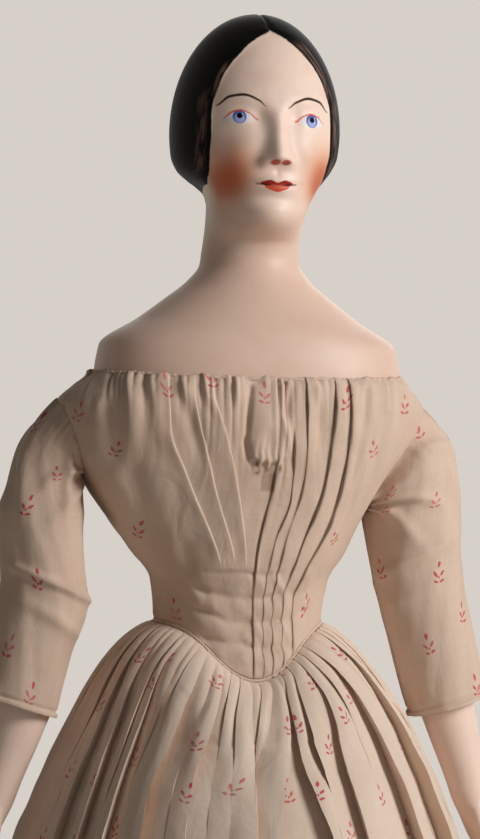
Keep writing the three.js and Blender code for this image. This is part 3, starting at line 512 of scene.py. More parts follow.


# prints sprigs on a flat cut: those given first, then a half-drop lattice around them
def printCloth(piece, across, along, placed=(), lattice=True, plain=False, lengths=None):
    look = cottonLook
    wide, tall = look["columnStep"], look["rowStep"]
    spots = [tuple(spot) for spot in placed]
    columns = range(int(across.min() // wide), int(across.max() // wide) + 1)
    lowest, highest = lengths or (along.min(), along.max())
    rows = range(int(lowest // tall) - 1, int(highest // tall) + 1)
    for column in columns if lattice else ():
        for row in rows:
            x = (column + 0.5) * wide + look["jitter"] * (chanceOf(column, row) - 0.5)
            y = (row + 0.5 + 0.5 * (column % 2)) * tall + look["jitter"] * (chanceOf(row, column) - 0.5)
            if all(np.hypot(x - px, y - py) > look["clear"] for px, py in placed):
                spots.append((x, y))
    tree = KDTree(len(spots))
    for number, (x, y) in enumerate(spots):
        tree.insert((x, y, 0), number)
    tree.balance()
    middles = np.stack([across.reshape(-1, 4).mean(axis=1), along.reshape(-1, 4).mean(axis=1)], axis=-1)
    nearest = np.repeat([tree.find((x, y, 0))[1] for x, y in middles], 4)
    spots = np.array(spots)
    dx, dy = across - spots[nearest, 0], along - spots[nearest, 1]
    lean = look["lean"] * (chanceOf(nearest, 3) - 0.5)
    x = np.cos(lean) * dx + np.sin(lean) * dy
    y = np.cos(lean) * dy - np.sin(lean) * dx
    layer = piece.data.uv_layers.new(name="sprigs")
    x = np.where(plain, offPrint, np.where(nearest % 2 == 0, x, -x))
    layer.data.foreach_set("uv", np.stack([x, y], axis=-1).ravel())


# linen thread: twisted, slightly waxed, creamy
threadLook = dict(pale="#d9c9a8", dark="#b39e7a", ply=0.9)


def makeThread():
    material, tree, surface = newMaterial("linen_thread", {"Roughness": 0.7})
    place = addNode(tree, "TexCoord", output="Object")
    ply = addNode(tree, "TexNoise", {"Vector": place, "Scale": 1000 / threadLook["ply"], "Detail": 2.0})
    tree.links.new(layOver(tree, threadLook["pale"], threadLook["dark"], ply), surface["Base Color"])
    bump = addNode(tree, "Bump", {"Height": ply, "Strength": 0.5, "Distance": 0.15 * mm})
    tree.links.new(bump, surface["Normal"])
    return material


# brass hook wire: drawn, dulled brown in the hollows
brassLook = dict(bright="#8d7440", dull="#4f3f2a", patch=1.8)


def makeBrass():
    material, tree, surface = newMaterial("tarnished_brass_wire", {"Metallic": 1.0})
    place = addNode(tree, "TexCoord", output="Object")
    dull = addNode(tree, "TexNoise", {"Vector": place, "Scale": 1000 / brassLook["patch"], "Detail": 3.0})
    tree.links.new(layOver(tree, brassLook["bright"], brassLook["dull"], dull, 0.35, 0.65), surface["Base Color"])
    rough = addNode(tree, "MapRange", {0: dull, 1: 0.3, 2: 0.7, 3: 0.3, 4: 0.55}, **smoothStep)
    tree.links.new(rough, surface["Roughness"])
    return material


# muslin of the stuffed body: unbleached and a little coarser; white cotton of the petticoat: bleached and finer
muslinLook = dict(cottonLook, cloth="#ddd0ba", aged="#c9b797", thread=0.9)
whiteLook = dict(cottonLook, cloth="#e6ded0", aged="#d3c6b0", thread=0.7)
paintedChina = makeChina("painted_glazed_china", paintHead)
plainChina = makeChina("glazed_china")
slipperChina = makeChina("slippered_china", paintSlipper)
printedCotton = makeCotton("sprigged_cotton", cottonLook, printed=True)
muslin = makeCotton("unbleached_muslin", muslinLook)
whiteCotton = makeCotton("bleached_cotton", whiteLook)
linenThread = makeThread()
brassWire = makeBrass()
print("materials made")


# shoulder head
headSize = dict(columns=280, rows=260, frontBias=0.5, noseLength=5.6, hairStep=0.5, parting=0.6, partingFoot=65.4,
                archRise=13, archWidth=0.4, aside=0.7, crownDrop=0.9, neckDrop=4, hairFoot=11.6, napeDrop=4.5,
                toneAndPaintedLight=0.45, creaseShade=0.32, jawRise=14)
bunSize = dict(up=27, wide=13, tall=12, out=6.5, plait=0.8, strands=5.5, twist=6, core=0.4, coreDepth=0.9)
headWidths = curve((plateHemZ, 54), (408, 54.5), (423, 52.7), (433.1, 38.5), (440.1, 29.2), (446, 21.8), (452, 17.4),
                   (458.2, 16.8), (465, 17), (470, 18), (476, 20.4), (481, 23.3), (485, 25.8), (490, 28.2),
                   (headMidZ, 29))
# behind the jaw the hair rolls under to the neck
napeWidths = curve((452, 17.4), (458.2, 16.6), (465, 15.8), (472, 15.6), (477, 16.8), (479.4, 19.4), (481.2, 22.2),
                   (484.8, 26.3), (490, 28.4), (headMidZ, 29))
headFronts = curve((plateHemZ, 32), (414, 31), (426, 28.5), (439.8, 21.5), (446, 18.5), (454, 16.4), (458.5, 17.6),
                   (462, 22.4), (465.5, 26.4), (470, 28.6), (476, 29.5), (483, 29.8), (490, 30.2), (headMidZ, 30.5))
headBacks = curve((plateHemZ, 33), (414, 32.5), (430, 30), (439.8, 25.5), (448, 21.4), (457.4, 19.5), (470, 21.4),
                  (476, 25.3), (483, 30), (490, 33.5), (headMidZ, 34))
bodyAxis = curve((waistZ, 0), (plateHemZ, 0.7 * headAxisY), (necklineZ, headAxisY))
headSquare = curve((necklineZ, 2.35), (neckRootZ, 2.05))
# hairline: angle from the front in degrees, by height above the chin
hairline = curve((11, 66), (13, 62), (17, 53.5), (22, 48.5), (30, 46), (38, 46), (43, 43.5), (50, 38.5), (57, 27.5),
                 (61.5, 16), (headSize["partingFoot"], 0))
noseRidge = curve((15.4, 0), (17.3, 0.16), (20.2, 1), (24, 0.78), (28, 0.53), (34, 0.22), (39, 0))
noseWidth = curve((17, 4.2), (20, 3.8), (26, 3.1), (34, 2.6))
# swellings of the face: across, up from the chin, wide, tall, out
faceForms = ((4.1, 18.7, 1.9, 2.0, 1.25), (11, 40.2, 8, 3.4, 0.6), (11.6, 34.4, 6.3, 4.2, -1.6),
             (6, 34, 2.9, 4.6, -0.9), (10, 24.5, 5.5, 6, 0.8), (12.8, 33.8, 4.7, 2.8, 1.5), (14, 19, 8, 8, 0.9),
             (0, 12, 9, 6, 1.2), (0, 12.7, 5, 1.3, 0.75), (0, 9.6, 4.2, 1.5, 0.85), (0, 11.4, 6.5, 0.55, -0.45),
             (0, 6.3, 7, 2.0, -0.9), (0, 0.6, 7.5, 4.6, 1.8), (0, 15.4, 1.1, 1.8, -0.3))


# distance from a brush stroke through (x, up, half width), below zero inside it
def strokeDistance(x, up, points):
    places = np.array(points, float)
    samples = np.linspace(places[0, 0], places[-1, 0], 28)
    heights = curve(*[point[:2] for point in points])(samples)
    halves = np.interp(samples, places[:, 0], places[:, 2])
    nearest = np.full(x.shape, 99.0)
    for i in range(len(samples) - 1):
        dx, dz = samples[i + 1] - samples[i], heights[i + 1] - heights[i]
        t = np.clip(((x - samples[i]) * dx + (up - heights[i]) * dz) / (dx * dx + dz * dz), 0, 1)
        away = np.hypot(x - samples[i] - t * dx, up - heights[i] - t * dz)
        nearest = np.minimum(nearest, away - halves[i] - t * (halves[i + 1] - halves[i]))
    return nearest


# painted features, in millimetres from the middle of the face and above the chin
paintPlan = dict(
    brow=((3.6, 37.4, 0.12), (6.5, 39.5, 0.36), (11.6, 41.3, 0.5), (16, 40.6, 0.44), (19.8, 37.6, 0.2)),
    lid=((6.7, 33.0, 0.34), (9.2, 34.9, 0.26), (12.4, 36.05, 0.34), (15.2, 35.35, 0.3), (17.9, 33.2, 0.16)),
    eye=(12.8, 33.75), eyeTilt=0.018, whiteHalf=5.0, whiteHeight=2.3, irisRadius=2.35, irisStretch=1.06,
    innerShare=0.74, innerDrop=0.5, innerGap=0.7, pupilRadius=0.98, pupilRise=0.35, glintRadius=0.3,
    glintAway=1.0, aside=0.1, bow=((0, 11.75), (2.6, 12.6), (4.9, 12.1), (7.4, 11.3)), bowEnd=5.6, mouth=11.05,
    mouthDip=0.35, lipHalf=4.7, lipDrop=2.15, mouthLine=((0, 10.75, 0.1), (4.2, 11.15, 0.38), (7.1, 11.35, 0.26)),
    nostril=(1.95, 18.5, 1.75, 0.85), nostrilShift=0.6, blush=(16.4, 15.0, 8.2, 10.4, 0.72),
    blushCore=(17.2, 12.6, 5.4, 7.2, 0.85), blushShift=1.8)


# each field is a distance in millimetres, below zero inside the paint
def paintFace(piece, x, up, ahead):
    plan = paintPlan
    off = np.where(ahead > 0.1, 0.0, 60.0)  # keeps the paint on the front
    across = np.abs(x)
    level = up + plan["eyeTilt"] * x
    eyeX, eyeUp = across - plan["eye"][0], level - plan["eye"][1]
    under = level - curve(*[point[:2] for point in plan["lid"]])(across)
    centre = np.hypot(eyeX * plan["irisStretch"], eyeUp)
    lowered = np.hypot(eyeX * plan["irisStretch"], eyeUp + plan["innerDrop"])  # darker above, under the lid
    glintX = eyeX - np.sign(x) * plan["glintAway"]  # small light on the side of the lamp
    white = np.hypot(eyeX / plan["whiteHalf"], eyeUp / plan["whiteHeight"]) - 1
    mouthX = np.abs(x - plan["aside"])
    bow = curve(*plan["bow"])(mouthX)
    mouth = plan["mouth"] - plan["mouthDip"] * bell(mouthX, 1.6) + 0.02 * mouthX
    beyond = 2 * np.clip(mouthX - plan["bowEnd"], 0, 9)
    lower = mouth - plan["lipDrop"] * np.sqrt(np.clip(1 - (mouthX / plan["lipHalf"]) ** 2, 0, 1))
    nostrilX, nostrilUp, long, tall = plan["nostril"]
    nostrilX = np.abs(x - plan["nostrilShift"]) - nostrilX
    fields = dict(
        brow=strokeDistance(across, level, plan["brow"]), lid=strokeDistance(across, level, plan["lid"]),
        iris=np.maximum(centre - plan["irisRadius"], under),
        irisInner=np.maximum(lowered - plan["innerShare"] * plan["irisRadius"], under + plan["innerGap"]),
        pupil=np.hypot(eyeX, eyeUp - plan["pupilRise"]) - plan["pupilRadius"],
        glint=np.hypot(glintX, eyeUp - plan["glintAway"]) - plan["glintRadius"],
        eyeWhite=np.maximum(plan["whiteHeight"] * white, under),
        upperLip=np.maximum(mouth - up, up - bow) + beyond,
        lowerLip=np.maximum(np.maximum(up - mouth, lower - up), mouthX - plan["lipHalf"]),
        mouthLine=strokeDistance(mouthX, up, plan["mouthLine"]),
        nostril=np.hypot(nostrilX / long, (up - nostrilUp) / tall) - 1)
    for name, distance in fields.items():
        setPaint(piece, name, distance + off)
    for layer in ("blush", "blushCore"):
        blushX, blushUp, wide, high, strength = plan[layer]
        outwards = across - blushX - plan["blushShift"] * np.sign(x)
        cheek = np.exp(-np.hypot(outwards / wide, (up - blushUp) / high) ** 3)
        setPaint(piece, layer, strength * cheek * ease(ahead, 0.36, 0.6))


def makeHead():
    size = headSize
    piece, u, v = newGrid("painted_shoulder_head", size["columns"], size["rows"])
    even = 2 * np.pi * u - np.pi
    angle = even - size["frontBias"] * np.sin(even)
    neck = chinZ - size["neckDrop"]
    # the hem of the plate rises in an arch over each arm
    arch = size["archRise"] * bell(np.abs(angle) - np.pi / 2, size["archWidth"])
    level = np.interp(v, [0, 0.25, 0.5], [0, 1, 2])
    plate = (plateHemZ + arch) + np.clip(level, 0, 1) * (neck - plateHemZ - arch)
    z = np.where(level <= 1, plate, neck + (level - 1) * (headMidZ - neck))
    dome = np.clip((v - 0.5) / 0.5, 0, 1) * np.pi / 2
    z = np.where(v > 0.5, headMidZ + (crownZ - size["crownDrop"] - headMidZ) * np.sin(dome), z)
    shrink = np.where(v > 0.5, np.cos(dome), 1.0)
    lowered = np.minimum(z, headMidZ)
    behind = ease(np.abs(angle), np.radians(58), np.radians(98)) * ease(lowered, 452, 458)
    half = headWidths(lowered) + (napeWidths(lowered) - headWidths(lowered)) * behind
    section = dict(half=half, front=headFronts(lowered), back=headBacks(lowered), axis=bodyAxis(lowered),
                   square=headSquare(lowered))
    x, y = onOval(section, angle)
    x = x * shrink
    y = section["axis"] + (y - section["axis"]) * shrink
    up = z - chinZ
    radius = section["half"] * shrink
    edge = np.radians(hairline(up))
    foot = size["hairFoot"] - size["napeDrop"] * ease(np.abs(angle), np.radians(60), np.pi)
    # distance inside the hairline, measured square to it
    levels = np.linspace(0, 73, 300)
    slope = np.gradient(np.radians(hairline(levels)) * 27, 73 / 299)
    inwards = (np.abs(angle) - edge) * radius / np.sqrt(1 + np.interp(up, levels, slope) ** 2)
    inHair = np.minimum(inwards, up - foot)
    overParting = up - size["partingFoot"]
    inHair = np.where(overParting > 0, np.maximum(inHair, np.minimum(overParting, 4)), inHair)
    # relief of the face and the moulded hair
    across = radius * np.sin(angle)
    forms = size["noseLength"] * noseRidge(up) * bell(across, noseWidth(up))
    for placeX, placeUp, wide, tall, out in faceForms:
        forms = forms + out * swell(np.abs(across) - placeX, up - placeUp, wide, tall)
    forms = np.where((np.cos(angle) > 0) & (up > -8), forms, 0) * (1 - ease(inHair, -1.5, 0.5))
    # a plaited coil low on the back of the head
    knot = bunSize
    overKnot = up - knot["up"]
    coil, around = np.hypot(across / knot["wide"], overKnot / knot["tall"]), np.arctan2(overKnot, across)
    plait = np.abs(np.sin(knot["strands"] * around + knot["twist"] * coil)) - 0.5
    plait = knot["plait"] * plait * span(coil, knot["core"], 0.52, 0.88, 1.0)
    bun = knot["out"] * np.sqrt(np.clip(1 - coil ** 2, 0, 1)) + plait
    bun = bun - knot["coreDepth"] * bell(coil - knot["core"], 0.08)
    bun = bun * (np.cos(angle) < 0) * (coil < 1.1)
    hair = size["hairStep"] * ease(inHair, -1.2, 2.4)
    hair = hair - size["parting"] * bell(x, 0.7) * ease(up, 64, 68)
    relief = (forms + bun + hair) * np.minimum(1, 3 * shrink + 0.05)
    x = x + np.sin(angle) * relief + size["aside"] * ease(z, chinZ - 6, chinZ + 16)
    y = y - np.cos(angle) * relief
    z = z + np.where(v > 0.5, np.sin(dome) * hair, 0)
    setPlaces(piece, x, y, z)
    setPaint(piece, "hair", inHair)
    leftSide = ease(x, -1, 1)
    # where the hair paint is brushed thin, along the hairline and in a lock behind it
    deep = np.maximum(inwards, 0)
    thin = (1 - leftSide) * (span(deep, 1.4, 2.4, 5.0, 7.0) * span(up, 14, 20, 38, 45)
                             + span(deep, -1, 0, 1.4, 3.0) * span(up, 40, 44, 50, 54))
    thin = thin + leftSide * (span(deep, -1, 0, 2.8, 4.2) * span(up, 40, 44, 58, 62)
                              + span(deep, 1.2, 2.2, 5.0, 6.6) * span(up, 13, 19, 38, 43))
    setPaint(piece, "thin", 0.9 * np.clip(thin, 0, 1) * (inHair > 0))
    paintFace(piece, x - size["aside"], up, np.cos(angle))
    # height above the line where jaw and neck meet
    jaw = up - size["jawRise"] * (1 - np.cos(np.clip(angle, -1.4, 1.4)))
    crease = size["creaseShade"] * bell(jaw + 4.5, 4.5) * ease(np.cos(angle), -0.2, 0.3)
    # neck and plate painted darker than the face, with painted shade in the crease under the jaw
    setPaint(piece, "neckTintAndJawShade", size["toneAndPaintedLight"] * (1 - ease(up, -14, 2)) + crease)
    setCut(piece, angle * 30, z)
    mergeSeam(piece)
    closeEnds(piece, ((0.94, 0), (0.97, 6)))  # the thick hem of the hollow casting
    settle(piece, paintedChina, "shoulder_head", "torso")


makeHead()
print("shoulder head made")


# dress bodice
bodiceHalf = curve((waistZ - pointDrop, 32), (324, 29.4), (342, 31.4), (351.2, 36.6), (363.9, 41.9), (377.9, 49.9),
                   (394, 60.6), (402.1, 63.07), (necklineZ, 56.1))
bodiceFront = curve((waistZ - pointDrop, 26.5), (waistZ, 24.5), (357, 30.2), (plateHemZ, 35.84), (necklineZ, 32.6))
bodiceBack = curve((waistZ - pointDrop, 25), (waistZ, 23.5), (357, 28.2), (plateHemZ, 36.84), (necklineZ, 34.1))
bodiceSquare = curve((waistZ, 2.1), (374, 2.5), (necklineZ, 2.4))
# the right sleeve is set in higher and smaller, as old mending left it: middle of the armhole, lean, radius
armholes = {"left": dict(middle=shoulder, lean=32, radius=19.0),
            "right": dict(middle=np.array([63.5, shoulder[1], 391.5]), lean=20, radius=11.5)}
armholeEdges = {"left": [], "right": []}
underarm = curve((344, 0), (354, 2.7), (358.6, 4.8), (366.3, 7), (373, 8), (381, 8.3), (392, 6.5), (402, 4.4), (409, 2),
                 (413, 0))


def bodiceSection(z):
    return dict(half=bodiceHalf(z), front=bodiceFront(z), back=bodiceBack(z), axis=bodyAxis(z),
                square=bodiceSquare(z))


def necklineAt(angle):
    return necklineZ - 1.5 * bell(angle, 0.95)


# fullness under the right arm
def bagging(angle, z):
    return underarm(z) * bell(angle + 1.5, 0.6)


def waistSeam(angle):
    return waistZ - pointDrop * bell(angle, 0.62)


# pleats: the fold's edge from neckline to waist as (height, x), its depth against height, columns up to it
bodicePleats = (
    dict(line=((409, -35), (395, -34.3), (378.5, -27.6), (346.4, -13), (330, -10.5)), depth=0.75, low=350, columns=84),
    dict(line=((409, -26.6), (375.6, -18.4), (348.2, -8.8), (330, -7)), depth=0.6, low=350, columns=22),
    dict(line=((411, -20.6), (391.7, -15.3), (375.8, -10.6), (349.6, -5.2), (330, -4)), depth=0.8, low=350, columns=16),
    dict(line=((400, 3), (379, 2), (349.7, -1.7), (319.6, -0.9)), depth=1.0, high=382, columns=48),
    dict(line=((400, 7.4), (388.4, 8), (371.6, 8.3), (355.3, 3.8), (336, 2.2), (314, 2.5)), depth=1.0, high=391,
         columns=14),
    dict(line=((411, 12.1), (379.2, 12.4), (355.3, 7.7), (336, 5.5), (315, 5.8)), depth=1.1, columns=12),
    dict(line=((411, 22.7), (393.7, 21.8), (376.2, 20.2), (349.7, 12.6), (336, 9.2), (315, 9.6)), depth=1.2,
         columns=20),
    dict(line=((411, 28.1), (390, 27.8), (365.4, 24.9), (343.4, 15.4), (336, 13.2), (317, 13.6)), depth=1.3,
         columns=16))
bodiceLook = dict(rows=124, lastColumns=72, wall=0.4, sideSeam=1.59, gather=2.3, gatherWidth=3.4, gatherLength=9.0,
                  pucker=0.8, pleatSwell=7, drag=1.4, rolled=1.5)
puckerLevels = (345.7, 336.5, 328.2, 319.6)
tornPlaces = ((-4.8, 383.0, 0.7, 1.2), (-4.4, 380.1, 1.1, 0.7), (-0.9, 381.2, 1.3, 0.8), (3.4, 381.6, 0.6, 1.1))
# soft drag folds of the front: from (x, height) to (x, height), width, how far out
frontFolds = (((-47, 413), (-45.5, 386), 2.6, 1.5), ((-40, 413), (-38.5, 392), 2.0, 1.1),
              ((-30, 413), (-29, 399), 1.6, 0.9), ((-50, 384), (-30, 352), 3.5, 0.9), ((36, 412), (31, 372), 3.2, 0.8),
              ((44, 409), (34, 358), 3.6, 0.9), ((-24, 413), (-21, 401), 1.5, 0.8),
              ((-12.5, 413), (-12, 402), 1.6, 0.9), ((16, 413), (16.5, 403), 1.4, 0.7),
              ((-43.5, 380), (-30, 350), 2.2, -1.3), ((-26, 354), (-22, 344), 2.0, -0.9),
              ((-53, 402), (-47, 378), 2.4, -1.2), ((-30, 404), (-24, 384), 2.4, -0.9),
              ((-7.7, 409), (-9.3, 390), 1.0, -1.0), ((-9.3, 391), (-7.2, 383), 1.0, -1.0),
              ((6.2, 409), (5.0, 396), 1.3, -0.9),
              ((4.4, 398), (6.3, 386), 1.2, 0.9), ((16, 410), (18, 386), 2.6, -0.7), ((34, 408), (30, 372), 1.6, -0.8),
              ((42, 400), (36, 366), 2.2, -0.9))
# sprigs that the pleats leave showing, as (x, height)
frontSprigs = ((-49.1, 386.7), (-2.9, 407), (26.4, 405.5), (37.6, 388.4), (-25.8, 331.5), (26.8, 357.5), (18.9, 334),
               (-37.3, 359.2), (-35.6, 408.5), (-59.9, 399), (50.5, 404.5), (-21, 411.5))


def pleatDepth(pleat, z):
    depth = pleat["depth"] * (0.55 + 0.45 * ease(necklineZ - z, 0, 12))
    low, high = pleat.get("low", 290), pleat.get("high", 430)  # runs the whole height unless it says so
    depth = depth * ease(z, low - 4, low + 6)
    depth = depth * (1 - ease(z, high - 4, high + 6))
    uneven = 0.85 + 0.3 * waver(z / 6, pleat["columns"])
    return depth * uneven * (0.6 + 0.4 * ease(z, 335, 352))


# drawn-up gathers below the neckline cord, and the soft unevenness of old cloth
def clothWaver(arc, z):
    look = bodiceLook
    drop = necklineZ - z
    phase = np.pi * arc / look["gatherWidth"] + 2.4 * waver(arc / 6.5, 3)
    fade = np.exp(-np.abs(drop) / (look["gatherLength"] * np.exp(0.9 * waver(arc / 4.6, 8))))
    amount = look["gather"] * np.clip(0.65 + 0.75 * waver(arc / 5.2, 5), 0.08, 1.4) * fade
    puffs = np.abs(np.sin(phase)) ** 0.6 - 0.6
    drags = 0.7 * waver(arc / 7 + z / 30, 2) * waver(z / 13 + arc / 40, 7)
    drags = drags + 0.3 * waver(arc / 3.1 + z / 25, 9) * waver(z / 9, 4)
    return amount * puffs + drags


# height of soft folds that run between pairs of places
def foldRelief(across, along, folds):
    relief = 0
    for (x0, y0), (x1, y1), wide, high in folds:
        dx, dy = x1 - x0, y1 - y0
        t = np.clip(((across - x0) * dx + (along - y0) * dy) / (dx * dx + dy * dy), 0, 1)
        away = np.hypot(across - x0 - t * dx, along - y0 - t * dy)
        relief = relief + high * np.sin(np.pi * (0.25 + 0.7 * t)) * bell(away, wide)
    return relief


# puckers over the stitched lower front, and the mended pouch in the middle with its torn lower edge
def frontPuckers(x, z):
    low = 1 - ease(z, 344.5, 347)
    inside = ease(x, -25, -18) * (1 - ease(x, 16, 22))
    relief = 0
    for level in puckerLevels:
        bend = z - (level + 0.009 * x * x + 1.2 * waver(x / 7, level))
        relief = relief - bodiceLook["pucker"] * (0.9 * bell(bend, 1.4) - 0.6 * bell(bend + 4.2, 2.7))
    quilted = 0.75 * waver(x / 2.3 + z / 9, 11) * waver(z / 2.9 + x / 7, 12) * ease(x, -8, 0)
    relief = (1.35 * relief + quilted) * low * inside * (0.7 + 0.5 * waver(x / 4.5, 4))
    # the loose cloth above hangs a little over the sewn-down part on the left
    lip = 1.0 * ease(z, 345, 347) * np.exp(-np.clip(z - 346, 0, 99) / 12)
    relief = relief + lip * ease(x, -24, -16) * (1 - ease(x, -3, 0))
    torn = 381.8 + 1.6 * np.abs(np.sin(np.pi * x / 3.3 + 0.7)) + 0.05 * (x + 1.5) ** 2
    fullness = curve((380, 1), (388, 1), (394, 0.8), (402, 0.3), (409, 0))(z)
    pouch = 1.9 * np.clip(1 - ((x + 1.5) / 7.2) ** 2, 0, 1) ** 0.8 * fullness * ease(z, torn, torn + 0.9)
    pouch = pouch - 1.0 * swell(x + 0.8, z - 390.5, 2.6, 5.0) * fullness
    crinkle = 0.45 * (np.abs(np.sin(np.pi * x / 2.3 + 0.6 * waver(z / 3, 1))) - 0.5) * swell(x + 1, z - 385, 7, 5)
    return relief + pouch + crinkle - 0.5 * swell(x + 1, z - 379, 4.5, 3.5)


# the part of a panel beyond the arm seam is cut away, and the edge kept for the sleeve
def cutArmholes(piece):
    mesh = bmesh.new()
    mesh.from_mesh(piece.data)
    for name, side in sides.items():
        hole = armholes[name]
        lean = np.radians(hole["lean"])
        pivot = Vector(hole["middle"] * np.array([side, 1, 1])) * mm
        normal = Vector((side * np.cos(lean), 0, -np.sin(lean)))
        rise = Vector((side * np.sin(lean), 0, np.cos(lean)))
        near = []
        for face in mesh.faces:
            away = face.calc_center_median() - pivot
            inPlane = away - normal * away.dot(normal)
            beside = away.x * side > -0.03 and away.dot(normal) > -0.012
            if beside and inPlane.length < (hole["radius"] + 2.2) * mm:
                near.append(face)
        parts = dict.fromkeys(near)  # in order, so that each run gives the same mesh
        for face in near:
            parts.update(dict.fromkeys([*face.edges, *face.verts]))
        bmesh.ops.bisect_plane(mesh, geom=list(parts), plane_co=pivot, plane_no=normal, clear_outer=True)
        for vertex in mesh.verts:
            away = vertex.co - pivot
            onPlane = vertex.is_boundary and abs(away.dot(normal)) < 0.004
            if onPlane and away.length < (hole["radius"] + 4) * mm:
                up = away.dot(rise)
                armholeEdges[name].append((np.arctan2(away.y, up), np.hypot(away.y, up) / mm))
    mesh.to_mesh(piece.data)
    mesh.free()
    piece.data.update()


def makeBodiceFront():
    look = bodiceLook
    knots = [dict(columns=0, angle=-look["sideSeam"])]
    for pleat in bodicePleats:
        line = curve(*pleat["line"])
        # crown, folded edge and tucked-under foot, facing the middle: aside and height as shares of the depth
        profile = ((-0.6, 1.0), (0.0, 0.75), (-0.25, 0.0))
        if line(390.0) > 0:
            profile = [(-aside, out) for aside, out in profile[::-1]]
        for number, (aside, out) in enumerate(profile):
            columns = 1 if number else pleat["columns"]
            knots.append(dict(columns=columns, line=line, pleat=pleat, shift=aside, out=out, order=number - 1))
    knots.append(dict(columns=look["lastColumns"], angle=look["sideSeam"]))
    marks = np.cumsum([knot["columns"] for knot in knots])
    columns = int(marks[-1])
    piece, u, v = newGrid("bodice_front_panel", columns, look["rows"])
    column = np.rint(u * columns).astype(int)
    right = np.clip(np.searchsorted(marks, column, side="right"), 1, len(knots) - 1)
    share = (column - marks[right - 1]) / np.maximum(1, marks[right] - marks[right - 1])
    z = waistZ - 8 + v * (necklineZ - waistZ + 8)
    for again in range(6):  # height and angle depend on each other at the dipped waist
        section = bodiceSection(z)
        angles = []
        for knot in knots:
            if "angle" in knot:
                angles.append(np.full(z.shape, knot["angle"]))
                continue
            depth = pleatDepth(knot["pleat"], z)
            # where the pleat runs out its columns keep their order
            place = knot["line"](z) + knot["shift"] * depth + 0.3 * knot["order"] * np.clip(1 - depth / 0.4, 0, 1)
            sine = np.clip(np.abs(place) / section["half"], 0, 1) ** (section["square"] / 2)
            angles.append(np.sign(place) * np.arcsin(sine))
        angles = np.array(angles)
        index = np.arange(len(z))
        angle = angles[right - 1, index] * (1 - share) + angles[right, index] * share
        foot = waistSeam(angle)
        z = foot + v * (necklineAt(angle) - foot)
    section = bodiceSection(z)
    x, y = onOval(section, angle)
    middle = int(np.argmin(np.abs(angle[:columns + 1])))
    across, along = gridLengths(x, y, z, columns, look["rows"], middle)
    heights = np.array([knot["out"] * pleatDepth(knot["pleat"], z) if "pleat" in knot else 0 * z for knot in knots])
    low, high = heights[right - 1, index], heights[right, index]
    wide = np.abs(angles[right, index] - angles[right - 1, index]) * section["half"]
    # a pleat swells to its folded edge over a short way
    rising = high * np.clip(1 - (1 - share) * wide / look["pleatSwell"], 0, 1) ** 1.35
    falling = low * (1 - np.clip(share * wide / look["pleatSwell"], 0, 1) ** 1.7)
    relief = np.where(wide < 0.8, low * (1 - share) + high * share, np.where(high > low, rising, falling))
    relief = relief + clothWaver(across, z) * (1 - 0.5 * ease(x, 5, 25)) + frontPuckers(x, z)
    relief = relief + look["drag"] * foldRelief(x, z, frontFolds)
    outX, outY = ovalOut(section, x, y)
    # the top edge is rolled in
    relief = relief * ease(v, 0, 0.02) + bagging(angle, z) - look["rolled"] * ease(v, 0.965, 1) ** 2
    setPlaces(piece, x + outX * relief, y + outY * relief, z + 0.8 * waver(across / 2.6, 6) * ease(v, 0.95, 1))
    placed = []
    for spotX, spotZ in frontSprigs:
        nearest = np.argmin(np.hypot(x - spotX, z - spotZ) + 99 * (y > 0))
        placed.append((across[nearest], along[nearest]))
    printCloth(piece, *setCut(piece, across, along), placed, lattice=False)
    # painted shade in the torn places, beside and in the pleats and below the right arm, over a brown stain under the
    # mend; painted highlight on the lit pleat edges on the right of the doll
    hole = 0.45 * span(x, -3.0, -2.2, 1.6, 2.4) * span(z, 373.2, 374.4, 379.5, 380.6)
    for tornX, tornZ, tornWide, tornTall in tornPlaces:
        hole = hole + 0.95 * swell(x - tornX, z - tornZ, tornWide, tornTall)
    hole = hole + 0.8 * (1 - ease(angle, -1.52, -1.3)) * span(z, 358, 366, 380, 386)  # painted shade below the right arm
    paintedHighlight = 0
    for pleat in bodicePleats:
        fromEdge = x - curve(*pleat["line"])(z)
        depth = pleatDepth(pleat, z) * (0.75 + 0.35 * waver(z / 5, pleat["columns"]))
        # painted highlight along the lit edges of the pleats on the doll's right and painted shade beside them; painted
        # shade in the crevices of the others
        if pleat["line"][0][1] < 0:
            paintedHighlight = paintedHighlight + 0.32 * bell(fromEdge + 0.3, 1.0) * depth
            hole = hole + 0.35 * bell(fromEdge + 2.2, 1.3) * depth
        else:
            hole = hole + 0.75 * bell(fromEdge + 0.15, 0.42) * depth
    setPaint(piece, "toneAndPaintedLight", np.clip(paintedHighlight, 0, 0.8))
    setPaint(piece, "stainAndShade", np.clip(hole, 0, 0.95))
    cutArmholes(piece)
    layCloth(piece, bodiceLook["wall"])
    settle(piece, printedCotton, "bodice_front", "torso")


backLook = dict(columns=96, rows=84, sideSeam=1.55, underlap=0.07, fold=3.6, foldRise=0.55, lapDrop=1.4, cutAt=64)


